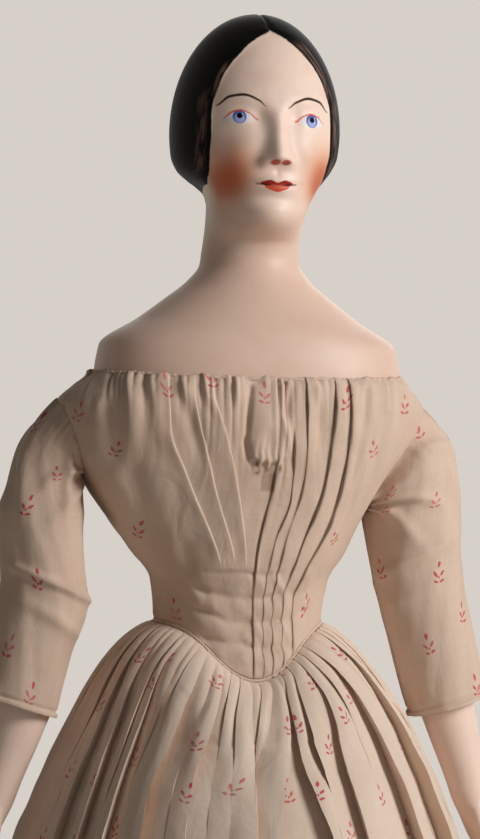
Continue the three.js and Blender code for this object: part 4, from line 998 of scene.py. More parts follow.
def makeBodiceBack(name, side):
    look = backLook
    piece, u, v = newGrid(f"bodice_back_{name}_panel", look["columns"], look["rows"])
    even = u if side > 0 else 1 - u
    close = np.pi + (look["underlap"] if side < 0 else -0.005)  # the right edge runs on under the left one
    angle = side * (look["sideSeam"] + even * (close - look["sideSeam"]))
    foot = waistSeam(angle)
    z = foot + v * (necklineAt(angle) - foot)
    section = bodiceSection(z)
    x, y = onOval(section, angle)
    across, along = gridLengths(x, y, z, look["columns"], look["rows"], 0)
    fromEdge = np.abs(x)
    relief = clothWaver(across + 40, z) * ease(fromEdge, 2, 9)
    # waist fullness, and the turned edges that hook together
    relief = relief + 0.5 * np.sin(2 * np.pi * across / 4.4 + 2 * waver(across / 8, 1)) * np.exp(-(z - foot) / 9)
    relief = relief * ease(v, 0, 0.02)
    relief = relief + look["foldRise"] * (1 - ease(fromEdge, look["fold"] - 0.5, look["fold"] + 0.5)) * (y > 0)
    relief = relief - look["lapDrop"] * ease(x, -0.7, 0.1) * (side < 0) * (y > 0)
    relief = relief + bagging(angle, z)
    outX, outY = ovalOut(section, x, y)
    setPlaces(piece, x + outX * relief, y + outY * relief, z + 0.7 * waver(across / 3, 6) * ease(v, 0.95, 1))
    printCloth(piece, *setCut(piece, across + side * look["cutAt"], along))
    cutArmholes(piece)
    layCloth(piece, bodiceLook["wall"])
    settle(piece, printedCotton, f"bodice_back_{name}", "torso")


makeBodiceFront()
for sideName, sideSign in sides.items():
    makeBodiceBack(sideName, sideSign)
print("bodice made")


# cords: the drawn neckline casing and the piped waist seam
cordSteps = 300
cordLook = {
    "neckline_casing": dict(node="neckline_cord", edge=necklineAt, drop=0.6, out=-1.6, radius=0.75, sway=0.4,
                            pinch=0.3),
    "waist_seam_piping": dict(node="waist_piping", edge=waistSeam, drop=0.7, out=-0.25, radius=0.7, sway=0, pinch=0)}


def makeCord(name, look):
    step = np.arange(cordSteps)
    angle = np.linspace(-np.pi, np.pi, cordSteps, endpoint=False)
    z = look["edge"](angle) - look["drop"]
    section = bodiceSection(z)
    x, y = onOval(section, angle)
    outX, outY = ovalOut(section, x, y)
    z = z + look["sway"] * waver(step / 5, 6)
    path = np.stack([x + look["out"] * outX, y + look["out"] * outY, z], axis=-1)
    cord = roundTube(name, path, look["radius"] * (1 + look["pinch"] * np.sin(step * 1.9)), 8, closed=True)
    unprinted = np.full(2 * len(cord.data.loops), offPrint)
    cord.data.uv_layers.new(name="sprigs").data.foreach_set("uv", unprinted)
    settle(cord, printedCotton, look["node"], "torso")


for cordName, cord in cordLook.items():
    makeCord(cordName, cord)
print("cords made")


# sleeves: set into the arm seam, easing down the arm to a turned hem
sleeveLook = dict(columns=128, rows=150, wall=0.9, headRadius=17.4, elbowRadius=15.6, hemRadius=14.5, reach=39.0,
                  turnedHem=4.4, cap=2.4, join=0.46, tucked=0.08, cutRadius=16.5, cutAt=130,
                  perDegree=0.28)
sleeveShift = {"left": curve((0, 0), (0.5, 0), (1, 0)),
               "right": curve((0, 0), (0.3, 0), (0.5, 2.6), (0.7, 4.2), (1, 2.6))}
# fullness of the sleeve head and depth of the seam's turnings in the armpit
sleeveSet = {"left": dict(cap=1, turning=3.6), "right": dict(cap=0.15, turning=2.2)}
# soft folds: from (turn in degrees, along) to (turn, along), width and height; turn -90 is the front, 0 outside
sleeveFolds = {
    "left": (((-150, 14), (-60, 38), 3.2, 1.5), ((-160, 20), (-95, 50), 3.0, 1.3), ((-165, 56), (-30, 47), 3.0, 1.5),
             ((-40, 26), (-15, 50), 4.0, 1.0), ((-70, 6), (-20, 20), 3.0, 1.2), ((-150, 66), (-60, 60), 3.2, 0.9),
             ((60, 14), (150, 40), 3.5, 1.2), ((40, 52), (160, 60), 3.0, 1.0)),
    "right": (((-150, 10), (-70, 34), 3.0, 1.5), ((-165, 22), (-90, 46), 3.2, 1.4), ((-165, 66), (-20, 61), 2.2, 1.5),
              ((-30, 24), (-60, 48), 4.0, 1.1), ((-110, 12), (-112, 44), 2.6, 1.2), ((-150, 78), (-50, 72), 3.0, 0.9),
              ((60, 14), (150, 40), 3.5, 1.2), ((40, 60), (160, 66), 3.0, 1.0))}
sleeveSprigs = {"left": ((108, -33), (91, -30), (106.5, -58.9), (85, -54), (97.5, -82), (125, -14)),
                "right": ((147, -40.7), (150.5, -64), (145, -88))}
# middle x and height, lean and radius of the right sleeve below its seam
rightStations = ((66.8, 386.5, 45, 11.8), (69.6, 380, 22, 12.3), (70.6, 372, 8, 13.4), (70.8, 364, 6, 15))


# middle, lean and radius of the sleeve from the arm seam to the hem
def sleeveStations(hole, name):
    look = sleeveLook
    first = 90 - hole["lean"]
    armpit = hole["middle"] - hole["radius"] * outOfLimb(first)
    stations = []
    for turn in (0, 0.12, 0.25, 0.4, 0.55, 0.75, 1):
        lean = first + (armLean - first) * turn
        radius = hole["radius"] + (look["headRadius"] - hole["radius"]) * turn
        middle = armpit + outOfLimb(lean) * radius + downLimb(lean) * (5.4 * turn - 0.8 * (1 - turn))
        stations.append((middle, lean, radius))
    if name == "right":
        stations = stations[:1]
        stations += [(np.array([x, shoulder[1], z]), lean, radius) for x, z, lean, radius in rightStations]
    bendAt = elbow + 1.5 * outOfLimb(armLean)
    hem = elbow + look["reach"] * downLimb(forearmLean) + 0.5 * outOfLimb(forearmLean)
    last = stations[-1]
    stations += [(0.5 * (last[0] + bendAt), armLean, 0.5 * (last[2] + look["elbowRadius"])),
                 (bendAt, 0.5 * (armLean + forearmLean), look["elbowRadius"]),
                 (0.55 * bendAt + 0.45 * hem, forearmLean, 0.5 * (look["elbowRadius"] + look["hemRadius"])),
                 (hem, forearmLean, look["hemRadius"])]
    return stations, hem


# the sleeve is in two lengths that meet on the upper arm
def makeSleeve(name, side, part):
    look = sleeveLook
    stations, hem = sleeveStations(armholes[name], name)
    outerEdge = np.array([middle + radius * outOfLimb(lean) for middle, lean, radius in stations])
    reach = np.concatenate([[0], np.cumsum(np.linalg.norm(np.diff(outerEdge, axis=0), axis=1))])
    length = reach[-1]
    rows = [(*middle[[0, 2]], np.radians(lean), radius) for middle, lean, radius in stations]
    centreX, centreZ, leanAt, size = (curve(*zip(reach / length, column)) for column in zip(*rows))
    # each length runs on one row under the other, so that the light passes evenly over the join
    each, join = 1 / look["rows"], look["join"]
    start, end = (0, join + each) if part["upper"] else (join - each, 1)
    piece, u, v = newGrid(f"{name}_{part['name']}", look["columns"], round((end - start) / each))
    t = end + v * (start - end)  # 0 at the arm seam, 1 at the hem
    tucked = t > join + 0.5 * each if part["upper"] else t < join - 0.5 * each
    turn = (2 * np.pi * u - np.pi) * side
    # the first rings follow the cut edge of the bodice
    edge = np.array(sorted(armholeEdges[name]))
    ring = np.interp(turn, edge[:, 0], edge[:, 1], period=2 * np.pi)
    setIn = ease(t, 0.0, 0.13)
    radius = (ring - 0.35) * (1 - setIn) + size(t) * setIn
    relief = look["cap"] * sleeveSet[name]["cap"] * bell(t - 0.14, 0.1) * np.clip(np.cos(turn), 0, 1) ** 1.2
    relief = relief + 0.35 * waver(4 * turn + 9 * t, 3 + side) * ease(t, 0.02, 0.15)
    gathers = np.abs(np.sin(13 * turn + 1.5 * waver(3 * turn, 2))) ** 0.7 - 0.5
    relief = relief + 0.9 * gathers * np.exp(-t / 0.07) * ease(t, 0.004, 0.03) * np.clip(np.cos(turn) + 0.4, 0, 1)
    wrapped = np.degrees(np.where(turn > np.radians(170), turn - 2 * np.pi, turn))
    arc = look["perDegree"]  # millimetres round the sleeve for a degree
    folds = [((a0 * arc, t0), (a1 * arc, t1), 0.85 * wide, 1.35 * high)
             for (a0, t0), (a1, t1), wide, high in sleeveFolds[name]]
    relief = relief + foldRelief(wrapped * arc, t * length, folds)
    hemStart = 1 - look["turnedHem"] / length
    relief = relief * (1 - 0.85 * ease(t, hemStart - 0.06, hemStart))
    # turned hem stands proud above a sewn-down line
    relief = relief + 0.55 * ease(t, hemStart - 0.004, hemStart + 0.008)
    relief = relief - 0.5 * bell(t - hemStart + 0.006, 0.006)
    relief = relief + 0.3 * waver(5 * turn, 4) * ease(t, hemStart - 0.1, 1) - 0.5 * ease(t, 0.992, 1)
    wide = radius + relief - look["tucked"] * tucked
    lean = leanAt(t)
    x = centreX(t) + sleeveShift[name](t) + wide * np.cos(turn) * np.cos(lean)
    z = centreZ(t) + wide * np.cos(turn) * np.sin(lean)
    # the seam's turnings lie inside the armpit
    turning = sleeveSet[name]["turning"] * (1 - ease(t, 0, 0.03)) * ease(-np.cos(turn), -0.2, 0.5)
    x, z = x - turning * np.sin(lean), z + turning * np.cos(lean)
    y = shoulder[1] + wide * np.sin(turn)
    setPlaces(piece, side * x, y, z)
    setPaint(piece, "stainAndShade", 0.8 * (1 - ease(t, 0.015, 0.09)) * ease(-np.cos(turn), 0.35, 0.9))  # painted shade in the armpit
    flat = setCut(piece, side * turn * look["cutRadius"] + look["cutAt"], -t * length)
    printCloth(piece, *flat, sleeveSprigs[name], lengths=(-length, 0))
    mergeSeam(piece)
    layCloth(piece, look["wall"])
    settle(piece, printedCotton, f"{name}_sleeve")
    if part["upper"]:
        hole = armholes[name]
        bodies, middle, away = ("torso", f"{name}_arm"), hole["middle"], outOfLimb(-hole["lean"])
        joinPlaces = np.stack([x, y, z], axis=-1)[np.abs(t - join) < 0.3 * each]
        low, high = 1, ((joinPlaces - middle) @ away).min() - 1.2
    else:
        bodies, middle, away = (f"{name}_arm", f"{name}_forearm"), elbow, (hem - elbow) / np.linalg.norm(hem - elbow)
        low, high = -10, 12
    start, end = (tuple((middle + reach * away) * np.array([side, 1, 1]) * mm) for reach in (low, high))
    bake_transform(piece)


sleeveParts = (dict(name="sleeve_cloth", upper=True, flat=0.05, area=0.0042),
               dict(name="lower_sleeve_cloth", upper=False, flat=0.058, area=0.0058))
for sideName, sideSign in sides.items():
    for sleevePart in sleeveParts:
        makeSleeve(sideName, sideSign, sleevePart)
print("sleeves made")


# skirt: one gathered width; tight gathers at the waist run together into broad flat folds
skirtLook = dict(columnsPerFold=5, rows=124, wall=0.5, rowBias=1.35, flare=0.61, crest=5, flatFold=57.0, aside=2.0,
                 gatherStep=5.4, hemWave=5.5, creaseShade=0.36, hemDust=0.2, toneAndPaintedLight=0.4)
# main folds as (fall, angle in degrees) from waist to hem, the side that laps over, and where a fold runs out
skirtFolds = (
    dict(line=((0, -70), (0.1, -70), (1, -74)), lap=-1),
    dict(line=((0, -60), (0.06, -61.5), (0.15, -61.5), (1, -63)), lap=-1),
    dict(line=((0, -46), (0.03, -49), (0.08, -51), (0.12, -52.5), (0.21, -53), (1, -52)), lap=-1),
    dict(line=((0, -31), (0.03, -32.5), (0.06, -35.5), (0.1, -38.5), (0.15, -42.5), (1, -41)), lap=-1),
    dict(line=((0, -20.5), (0.025, -21), (0.05, -23), (0.08, -26), (0.12, -29), (1, -27)), lap=-1, end=0.15),
    dict(line=((0, -5), (0.04, -8), (0.08, -9.5), (0.12, -11), (0.2, -11), (1, -12)), lap=-1),
    dict(line=((0, 7), (0.025, 3.2), (0.04, 1), (0.07, -4), (0.11, -8.5), (1, -8)), lap=0, end=0.13),
    dict(line=((0, 11), (0.028, 9), (0.064, 5), (0.092, 1), (0.136, -3), (1, -3)), lap=-1, end=0.24),
    dict(line=((0, 15), (0.02, 12.5), (0.04, 11.5), (0.064, 10.5), (0.08, 9.8), (0.12, 11), (0.17, 14), (1, 16)),
         lap=1),
    dict(line=((0, 20), (0.02, 18), (0.04, 17), (0.06, 16), (0.076, 15), (1, 19)), lap=1, end=0.13),
    dict(line=((0, 26), (0.02, 27), (0.036, 28), (0.06, 27), (0.08, 24.8), (0.1, 23.5), (0.17, 23.5), (1, 27)),
         lap=1),
    dict(line=((0, 36), (0.02, 39.5), (0.03, 41), (0.06, 43), (0.11, 43), (0.15, 44), (1, 45)), lap=1),
    dict(line=((0, 52), (0.016, 54), (0.036, 58), (0.07, 60), (0.1, 61), (1, 62)), lap=1))
# the other folds, unevenly spaced, in degrees
sideFolds = (75, 91, 104, 121, 136, 149, 166, 179, 195, 210, 224, 239, 256, 271)
mainDepth = curve((0, 0.7), (0.02, 1.9), (0.05, 3.1), (0.1, 4.4), (0.2, 5.5), (0.32, 5.0), (0.6, 3.2), (1, 2.4))
gatherDepth = curve((0, 0.8), (0.02, 2.0), (0.06, 2.6), (0.15, 2.8))
# sprigs in view, as (angle, fall)
skirtSprigs = ((-16, 0.115), (-30.5, 0.14), (20.5, 0.078), (30, 0.062), (39.5, 0.05), (50, 0.02), (33, 0.145),
               (20, 0.165), (-49, 0.022), (-49.5, 0.047), (-62, 0.03), (25, 0.022))


def skirtTop(angle):
    return waistSeam(angle) - 1.1


def skirtSection(angle, z):
    top = skirtTop(angle)
    spread = np.clip((top - z) / top, 0, None) ** skirtLook["flare"]
    waist = bodiceSection(top)
    hem = skirtReach - skirtLook["crest"]
    sized = {key: waist[key] + (hem - waist[key]) * spread for key in ("half", "front", "back")}
    return dict(sized, axis=waist["axis"] * (1 - spread), square=2.0)


# every valley of the cloth by rows: angle, depth, lap, reach of the fold beside it and whether it goes on to the hem
def skirtValleys(fall):
    mains = [dict(fold, line=curve(*fold["line"])(fall)) for fold in skirtFolds]
    for number, degrees in enumerate(sideFolds):
        sway = 3.0 * waver(number * 1.7, 3)
        line = curve((0, degrees), (0.12, degrees + sway), (0.5, degrees - sway), (1, degrees + 0.5 * sway))(fall)
        mains.append(dict(line=line, lap=1 if chanceOf(number, 5) > 0.45 else -1))
    valleys = []
    for number, main in enumerate(mains):
        following = mains[number + 1]["line"] if number + 1 < len(mains) else mains[0]["line"] + 360
        end = main.get("end", 9)
        depth = mainDepth(fall) * (0.8 + 0.45 * chanceOf(number, 2)) * (1 - ease(fall, end - 0.07, end))
        wide = 2.0 + 15 * ease(fall, 0, 0.2)
        valleys.append(dict(line=main["line"], lap=main["lap"], lasting=end > 1, depth=depth, wide=wide))
        count = max(0, int(round((following[-1] - main["line"][-1]) / skirtLook["gatherStep"])) - 1)
        for gather in range(count):
            chance = chanceOf(number + 3, gather + 1)
            place = (gather + 1 + 0.5 * (chance - 0.5)) / (count + 1)
            end = 0.04 + 0.16 * chance ** 1.5
            depth = gatherDepth(fall) * (0.6 + 0.5 * chanceOf(gather, number)) * (1 - ease(fall, 0.3 * end, end))
            line = main["line"] + place * (following - main["line"])
            lap = (0, 1, -1)[int(3 * chance)]
            wide = 1.5 + 6 * ease(fall, 0, 0.15)
            valleys.append(dict(line=line, lap=lap, lasting=False, depth=depth, wide=wide))
    return valleys


def makeSkirt():
    look = skirtLook
    each, rows = look["columnsPerFold"], look["rows"]
    fallOf = (1 - np.arange(rows + 1) / rows) ** look["rowBias"]  # closer rows near the waist
    valleys = skirtValleys(fallOf)
    count = len(valleys)
    lines, depths, wides = (np.array([valley[key] for valley in valleys]) for key in ("line", "depth", "wide"))
    laps = np.array([valley["lap"] for valley in valleys])
    columns = count * each
    piece, u, v = newGrid("gathered_skirt", columns, rows)
    column, row = np.rint(u * columns).astype(int), np.rint(v * rows).astype(int)
    number, step = (column // each) % count, column % each
    fall = fallOf[row]
    size = 30 + (skirtReach - 35) * fall ** look["flare"]
    perDegree = np.radians(size)  # millimetres along the cloth for a degree
    follow = (number + 1) % count
    here = lines[number, row] + 360 * (column // each == count)
    gap = (lines[follow, row] - lines[number, row]) % 360
    near = np.minimum(0.2, 1.3 / (gap * perDegree))
    share = np.choose(step, [0 * near, near, 0 * near + 0.5, 1 - near, 0 * near + 1])
    # the two edges at a valley lap over each other
    lapped = np.where(step == 0, -depths[number, row], np.where(step == each - 1, depths[follow, row], 0))
    degrees = here + share * gap + 0.3 * lapped / perDegree
    relief = 0.3 + (0.8 - 0.6 * ease(fall, 0.01, 0.1)) * (1 - (2 * share - 1) ** 2)
    low = 0
    for offset in range(-5, 7):
        other = (number + offset) % count
        away = np.abs((degrees - lines[other, row] + 180) % 360 - 180) * perDegree
        over = laps[other] * (1 if offset <= 0 else -1)  # above zero where this side lies on top
        lift = np.where(laps[other] == 0, -0.5, np.where(over > 0, 0.5, -0.65))
        relief = relief + depths[other, row] * lift * np.clip(1 - away / wides[other, row], 0, 1)
        low = low + np.where(lift < 0, ease(depths[other, row], 0.3, 1.6) * np.exp(-away / 0.7), 0)
    angle = np.radians((degrees + 180) % 360 - 180)
    z = skirtTop(angle) * (1 - fall)
    section = skirtSection(angle, z)
    relief = relief + 0.9 * waver(3 * angle + 3 * fall, 5) * ease(fall, 0.1, 0.5)
    relief = relief + 0.7 * waver(z / 8 + 1.7 * number, 4) * waver(z / 19 + number, 2) * ease(fall, 0.03, 0.12)
    crease = 1.1 * waver(14 * angle, 2)
    relief = relief - 0.7 * bell(z - 289 - crease, 1.2) * bell(angle + 0.1, 0.5)
    relief = relief - 0.6 * bell(z - 279 + crease, 1.4) * bell(angle - 0.4, 0.3)
    # towards the hem the folds open into rounded waves
    lasting = np.array([valley["lasting"] for valley in valleys])
    fold = np.cumsum(lasting) - 1
    firsts = np.flatnonzero(lasting)
    start, after = (lines[firsts[(fold[number] + k) % len(firsts)], row] for k in (0, 1))
    rounded = np.sin(np.pi * np.clip(((degrees - start + 3) % 360 - 3) / ((after - start) % 360), 0, 1))
    relief = relief + look["hemWave"] * ease(fall, 0.22, 0.75) * (rounded ** 0.8 - 0.7)
    x, y = onOval(grown(section, relief), angle)
    x = x + look["aside"] * ease(fall, 0.02, 0.12) * (1 - ease(fall, 0.3, 0.8))
    setPlaces(piece, x, y, z)
    # each lasting fold shows its own part of the cloth, the rest is folded away
    across = fold[number] * look["flatFold"] + ((degrees - start + 180) % 360 - 180) * perDegree
    along = gridLengths(x, y, z, columns, rows, 0)[1].reshape(rows + 1, columns + 1)
    along = (along - along[-1]).ravel()
    corners = readMesh(piece.data.loops, "vertex_index", 1, int)
    faceColumn = (np.arange(len(corners)) // 4) % columns
    hidden = faceColumn % each == each - 1
    source = np.where(hidden, corners - corners % (columns + 1) + faceColumn, corners)
    flat = setCut(piece, across, along, source)
    placed = []
    for spotAngle, spotFall in skirtSprigs:
        nearest = np.argmin(np.abs(np.degrees(angle) - spotAngle) + 300 * np.abs(fall - spotFall))
        placed.append((across[nearest], along[nearest]))
    printCloth(piece, *flat, placed, plain=hidden)
    # painted shade where the folds lap under, and dust along the hem
    creaseShade = look["creaseShade"] * np.clip(low, 0, 1) * ease(fall, 0.004, 0.03)
    setPaint(piece, "stainAndShade", creaseShade + look["hemDust"] * ease(fall, 0.9, 1) * (0.5 + 0.5 * waver(9 * angle, 2)))
    setPaint(piece, "toneAndPaintedLight", 0 * fall + look["toneAndPaintedLight"])  # washed paler than the bodice
    mergeSeam(piece)
    layCloth(piece, look["wall"])
    settle(piece, printedCotton, "skirt", "torso", crisp=60)


makeSkirt()
print("skirt made")


# petticoat on its band, hidden unless the doll is lifted
petticoatLook = dict(columns=240, rows=90, wall=0.8, lift=8.0, gathers=60, tucks=(30, 38, 46), tuckHalf=1.5,
                     tuckOut=0.8)
bandLook = dict(columns=160, rows=14, wall=0.9, foot=waistZ - 28, height=8.0)
torsoHalf = curve((torsoFootZ, 30.1), (275.8, 35), (325, 26), (357, 33.2), (plateHemZ, 42.5))
torsoDepth = curve((torsoFootZ, 20.4), (275.8, 25.5), (325, 21), (357, 26.5), (plateHemZ, 29.5))


def torsoSection(z):
    return dict(half=torsoHalf(z), front=torsoDepth(z), back=torsoDepth(z) - 1, axis=bodyAxis(z), square=2.1)


def makePetticoat():
    look, belt = petticoatLook, bandLook
    piece, u, v = newGrid("gathered_petticoat", look["columns"], look["rows"])
    angle = 2 * np.pi * u - np.pi
    fall = (1 - v) ** 1.3
    top = belt["foot"] - 0.4
    z = top + (look["lift"] - top) * fall
    drop = 1 - np.clip(z / skirtTop(angle), 0, 1)
    room = grown(skirtSection(angle, z), -(9.5 + 1.5 * np.sqrt(drop)))
    band = grown(torsoSection(z), 1.5)
    blendIn = ease(top - z, 0, 22)
    section = {key: band[key] + (room[key] - band[key]) * blendIn for key in ("half", "front", "back", "axis")}
    wave = (0.5 + 1.6 * ease(fall, 0.0, 0.3)) * np.cos(look["gathers"] * angle)
    tucks = 0
    for level in look["tucks"]:  # growth tucks over the hem
        fromTuck = np.abs(z - level - look["tuckHalf"])
        tucks = tucks + look["tuckOut"] * np.clip(1 - fromTuck / look["tuckHalf"], 0, 1)
    x, y = onOval({**grown(section, wave * (1 - 0.7 * ease(fall, 0.2, 0.9)) + tucks), "square": 2.05}, angle)
    setPlaces(piece, x, y, z)
    setCut(piece, angle * 130, z)
    mergeSeam(piece)
    layCloth(piece, look["wall"])
    settle(piece, whiteCotton, "petticoat", "torso")

    band, u, v = newGrid("petticoat_waistband", belt["columns"], belt["rows"])
    angle = 2 * np.pi * u - np.pi
    z = belt["foot"] + v * belt["height"]
    puff = 0.45 * np.sin(np.pi * v) + 0.12 * np.sin(50 * angle) * (1 - ease(v, 0, 0.3))
    x, y = onOval(grown(torsoSection(z), 1.3 + puff), angle)
    setPlaces(band, x, y, z)
    setCut(band, angle * 30, z)
    mergeSeam(band)
    layCloth(band, belt["wall"])
    settle(band, whiteCotton, "petticoat_band", "torso")


makePetticoat()
print("petticoat made")


# stuffed cloth body and limbs
torsoLook = dict(columns=120, rows=120, rise=10, inside=5.5, armpit=8, seam=0.5, lumps=0.35)


# fills the plate of the head from inside and is narrowed below the arms
def makeTorso():
    look = torsoLook
    piece, u, v = newGrid("stuffed_torso", look["columns"], look["rows"])
    angle = 2 * np.pi * u - np.pi
    top = shoulderZ + look["rise"]
    z = torsoFootZ + v * (top - torsoFootZ)
    inPlate = ease(z, plateHemZ - 4, plateHemZ + 2)
    lowered = np.maximum(z, plateHemZ)
    plate = dict(half=headWidths(lowered + 3), front=headFronts(lowered + 3), back=headBacks(lowered + 3))
    body = torsoSection(np.minimum(z, plateHemZ))
    section = {key: body[key] + (plate[key] - look["inside"] - body[key]) * inPlate for key in plate}
    section["half"] = section["half"] - look["armpit"] * inPlate * (1 - ease(z, 406, 412))
    shrink = roundedEnd(v, 0.07) * roundedEnd(1 - v, 0.04)
    seam = look["seam"] * bell(np.abs(angle) - np.pi / 2, 0.035)
    lumps = look["lumps"] * waver(4 * angle + z / 16, 6) * waver(z / 13, 3)
    section = grown(section, lumps - seam)
    x, y = onOval({**section, "axis": 0.0, "square": 2.15}, angle)
    axis = bodyAxis(np.minimum(z, necklineZ))
    setPlaces(piece, x * shrink, axis + y * shrink, z)
    setCut(piece, angle * 36, z)
    mergeSeam(piece, 0.01)
    settle(piece, muslin, "torso", "torso")


# stations of (distance from the joint, radius); the arm narrows to a flat unstuffed top at its seam
limbLook = dict(columns=48, rows=64, seam=0.35)
armStations = ((-5, 1.6), (0, 1.8), (8, 2.5), (16, 3.8), (26, 5.8), (38, 7.7), (52, 8.4), (60, 8.2))
thighStations = ((-13, 12.5), (0, 13), (30, 14.5), (60, 12.9), (100, 10.5), (110.5, 10.3))
armAside = {"left": np.zeros(3), "right": np.array([4.5, 0, 0.5])}  # the right sleeve hangs further out


def stuffedLimb(name, start, direction, stations, body, node):
    piece, u, v = newGrid(name, limbLook["columns"], limbLook["rows"])
    low, high = stations[0][0], stations[-1][0]
    along = low + (1 - (0.5 - 0.5 * np.cos(np.pi * v))) * (high - low)
    turn = 2 * np.pi * u
    ends = roundedEnd(along - low, stations[1][1]) * roundedEnd(high - along, stations[-2][1])
    seam = limbLook["seam"] * bell(np.minimum(turn, 2 * np.pi - turn), 0.09)
    size = curve(*stations)(along) + 0.25 * waver(3 * turn + along / 9, 4) * np.sin(turn / 2) - seam
    setPlaces(piece, *aroundAxis(start, direction, along, size * ends, turn).T)
    setCut(piece, turn * 9, -along)
    mergeSeam(piece, 0.01)
    faceOutwards(piece)
    settle(piece, muslin, node, body)


makeTorso()
for sideName, sideSign in sides.items():
    mirror = np.array([sideSign, 1, 1])
    stuffedLimb(f"{sideName}_stuffed_upper_arm", (shoulder + armAside[sideName]) * mirror, downLimb(armLean, sideSign),
                armStations, f"{sideName}_arm", f"{sideName}_upper_arm")
    stuffedLimb(f"{sideName}_stuffed_thigh", jointAt("left_hip") * mirror, (0, 0, -1), thighStations,
                f"{sideName}_leg", f"{sideName}_thigh")
print("stuffed pieces made")


# china limbs: a skin through ring stations of (distance, half width, front, back)
def limbSkin(name, stations, columns, rows):
    piece, u, v = newGrid(name, columns, rows)
    angle = 2 * np.pi * u - np.pi
    low, high = stations[0][0], stations[-1][0]
    drop = low + (1 - v) * (high - low)
    values = [curve(*[(station[0], station[k]) for station in stations])(drop) for k in (1, 2, 3)]
    x, y = onOval(dict(half=values[0], front=values[1], back=values[2], axis=0.0, square=2.0), angle)
    setPlaces(piece, x, y, -drop)
    mergeSeam(piece, 0.002)
    closeEnds(piece)
    return piece


forearmStations = ((6.3, 7.7, 7.7, 7.7), (16, 7.7, 7.7, 7.7), (19.5, 9.7, 9.7, 9.7), (30, 10.2, 10.4, 10.2),
                   (49, 8.9, 9.1, 8.7), (65, 7.3, 7.4, 7.3), (72, 6.9, 7.2, 7), (79, 5.6, 8.4, 8), (86, 4.4, 9.1, 8.8),
                   (90, 3.4, 9.1, 8.9), (94, 2.3, 8.8, 8.6), (96, 1.4, 8.4, 8.2))
handLook = dict(finger=2.35, fingerLength=19.0, fingerRoot=86, fingerOverlap=0.12, curl=4.0, thumb=2.5, steps=14,
                around=16, voxel=0.55, smoothing=11)


# fingers and thumb are joined to the arm and melted into one casting
def makeForearm(name, side):
    look = handLook
    steps = np.linspace(0, 1, look["steps"])
    tip = roundedEnd(1.01 - steps, 0.15, 0.02)
    parts = [limbSkin("forearm_part", forearmStations, 64, 124)]
    for place in (-1.5, -0.5, 0.5, 1.5):
        reach = look["fingerLength"] * (1 - 0.09 * abs(place + 0.5))
        y = place * 2 * (look["finger"] - look["fingerOverlap"])
        bent = -side * look["curl"] * steps ** 2.2
        path = np.stack([bent, y * (1 - 0.1 * steps), -(look["fingerRoot"] + reach * steps)], axis=-1)
        parts.append(roundTube("finger_part", path, look["finger"] * (1 - 0.22 * steps ** 2) * tip, look["around"]))
    ball = np.stack([-side * (0.4 + 1.2 * steps), -(2.0 + 6.6 * steps), -(71 + 14 * steps)], axis=-1)
    parts.append(roundTube("thumb_ball_part", ball, 3.9 - 1.3 * steps, look["around"]))
    thumb = np.stack([-side * (0.5 + 2.8 * steps), -(4.5 + 7.0 * np.sin(np.pi * 0.55 * steps)), -(75 + 19.5 * steps)],
                     axis=-1)
    parts.append(roundTube("thumb_part", thumb, look["thumb"] * (1.1 - 0.3 * steps) * tip, look["around"]))
    piece = joinPieces(f"{name}_china_forearm", parts)
    finishWith(piece, "REMESH", mode="VOXEL", voxel_size=look["voxel"] * mm)
    finishWith(piece, "SMOOTH", factor=0.5, iterations=look["smoothing"])
    lean = Matrix.Rotation(-side * np.radians(forearmLean), 4, "Y")
    piece.data.transform(Matrix.Translation(Vector(elbow * np.array([side, 1, 1])) * mm) @ lean)
    settle(piece, plainChina, f"{name}_forearm", f"{name}_forearm")


legStations = ((5.4, 9.2, 9.2, 9.2), (15.3, 9.2, 9.2, 9.2), (18.2, 10.8, 10.6, 11), (45, 11.4, 10.8, 12.6),
               (81, 9, 8.6, 9.4), (123, 6.6, 7, 7.2), (132, 7.2, 9.5, 8.4), (136.5, 7.8, 17, 9), (140, 8.2, 25, 9.4),
               (143.5, 8.3, 31, 9.4), (146, 7.9, 32.6, 9), (147, 7.2, 31.6, 8.4))
slipperTop = 15.5  # height of the painted edge at the ankle


def makeLowerLeg(name, side):
    piece = limbSkin(f"{name}_china_lower_leg", legStations, 64, 150)
    piece.data.transform(Matrix.Translation(Vector((side * knee[0], 0, knee[2])) * mm))
    places = readMesh(piece.data.vertices, "co", 3) / mm
    y, z = places[1::3], places[2::3]
    setPaint(piece, "slipper", slipperTop - z + 0.32 * np.clip(-y - 12, -14, 6) + 2.5 * bell(y - 6, 4))
    settle(piece, slipperChina, f"{name}_lower_leg", f"{name}_shin")


for sideName, sideSign in sides.items():
    makeForearm(sideName, sideSign)
    makeLowerLeg(sideName, sideSign)
print("china limbs made")


# cloth cuffs drawn over the china stubs and bound with thread
cuffLook = dict(columns=96, rows=40, gap=0.4, length=9.0, wall=0.7, proud=1.35, gathers=22, tieShare=0.6, turns=4,
                thread=0.3, threadOut=1.75, pitch=0.62, stepsPerTurn=36)


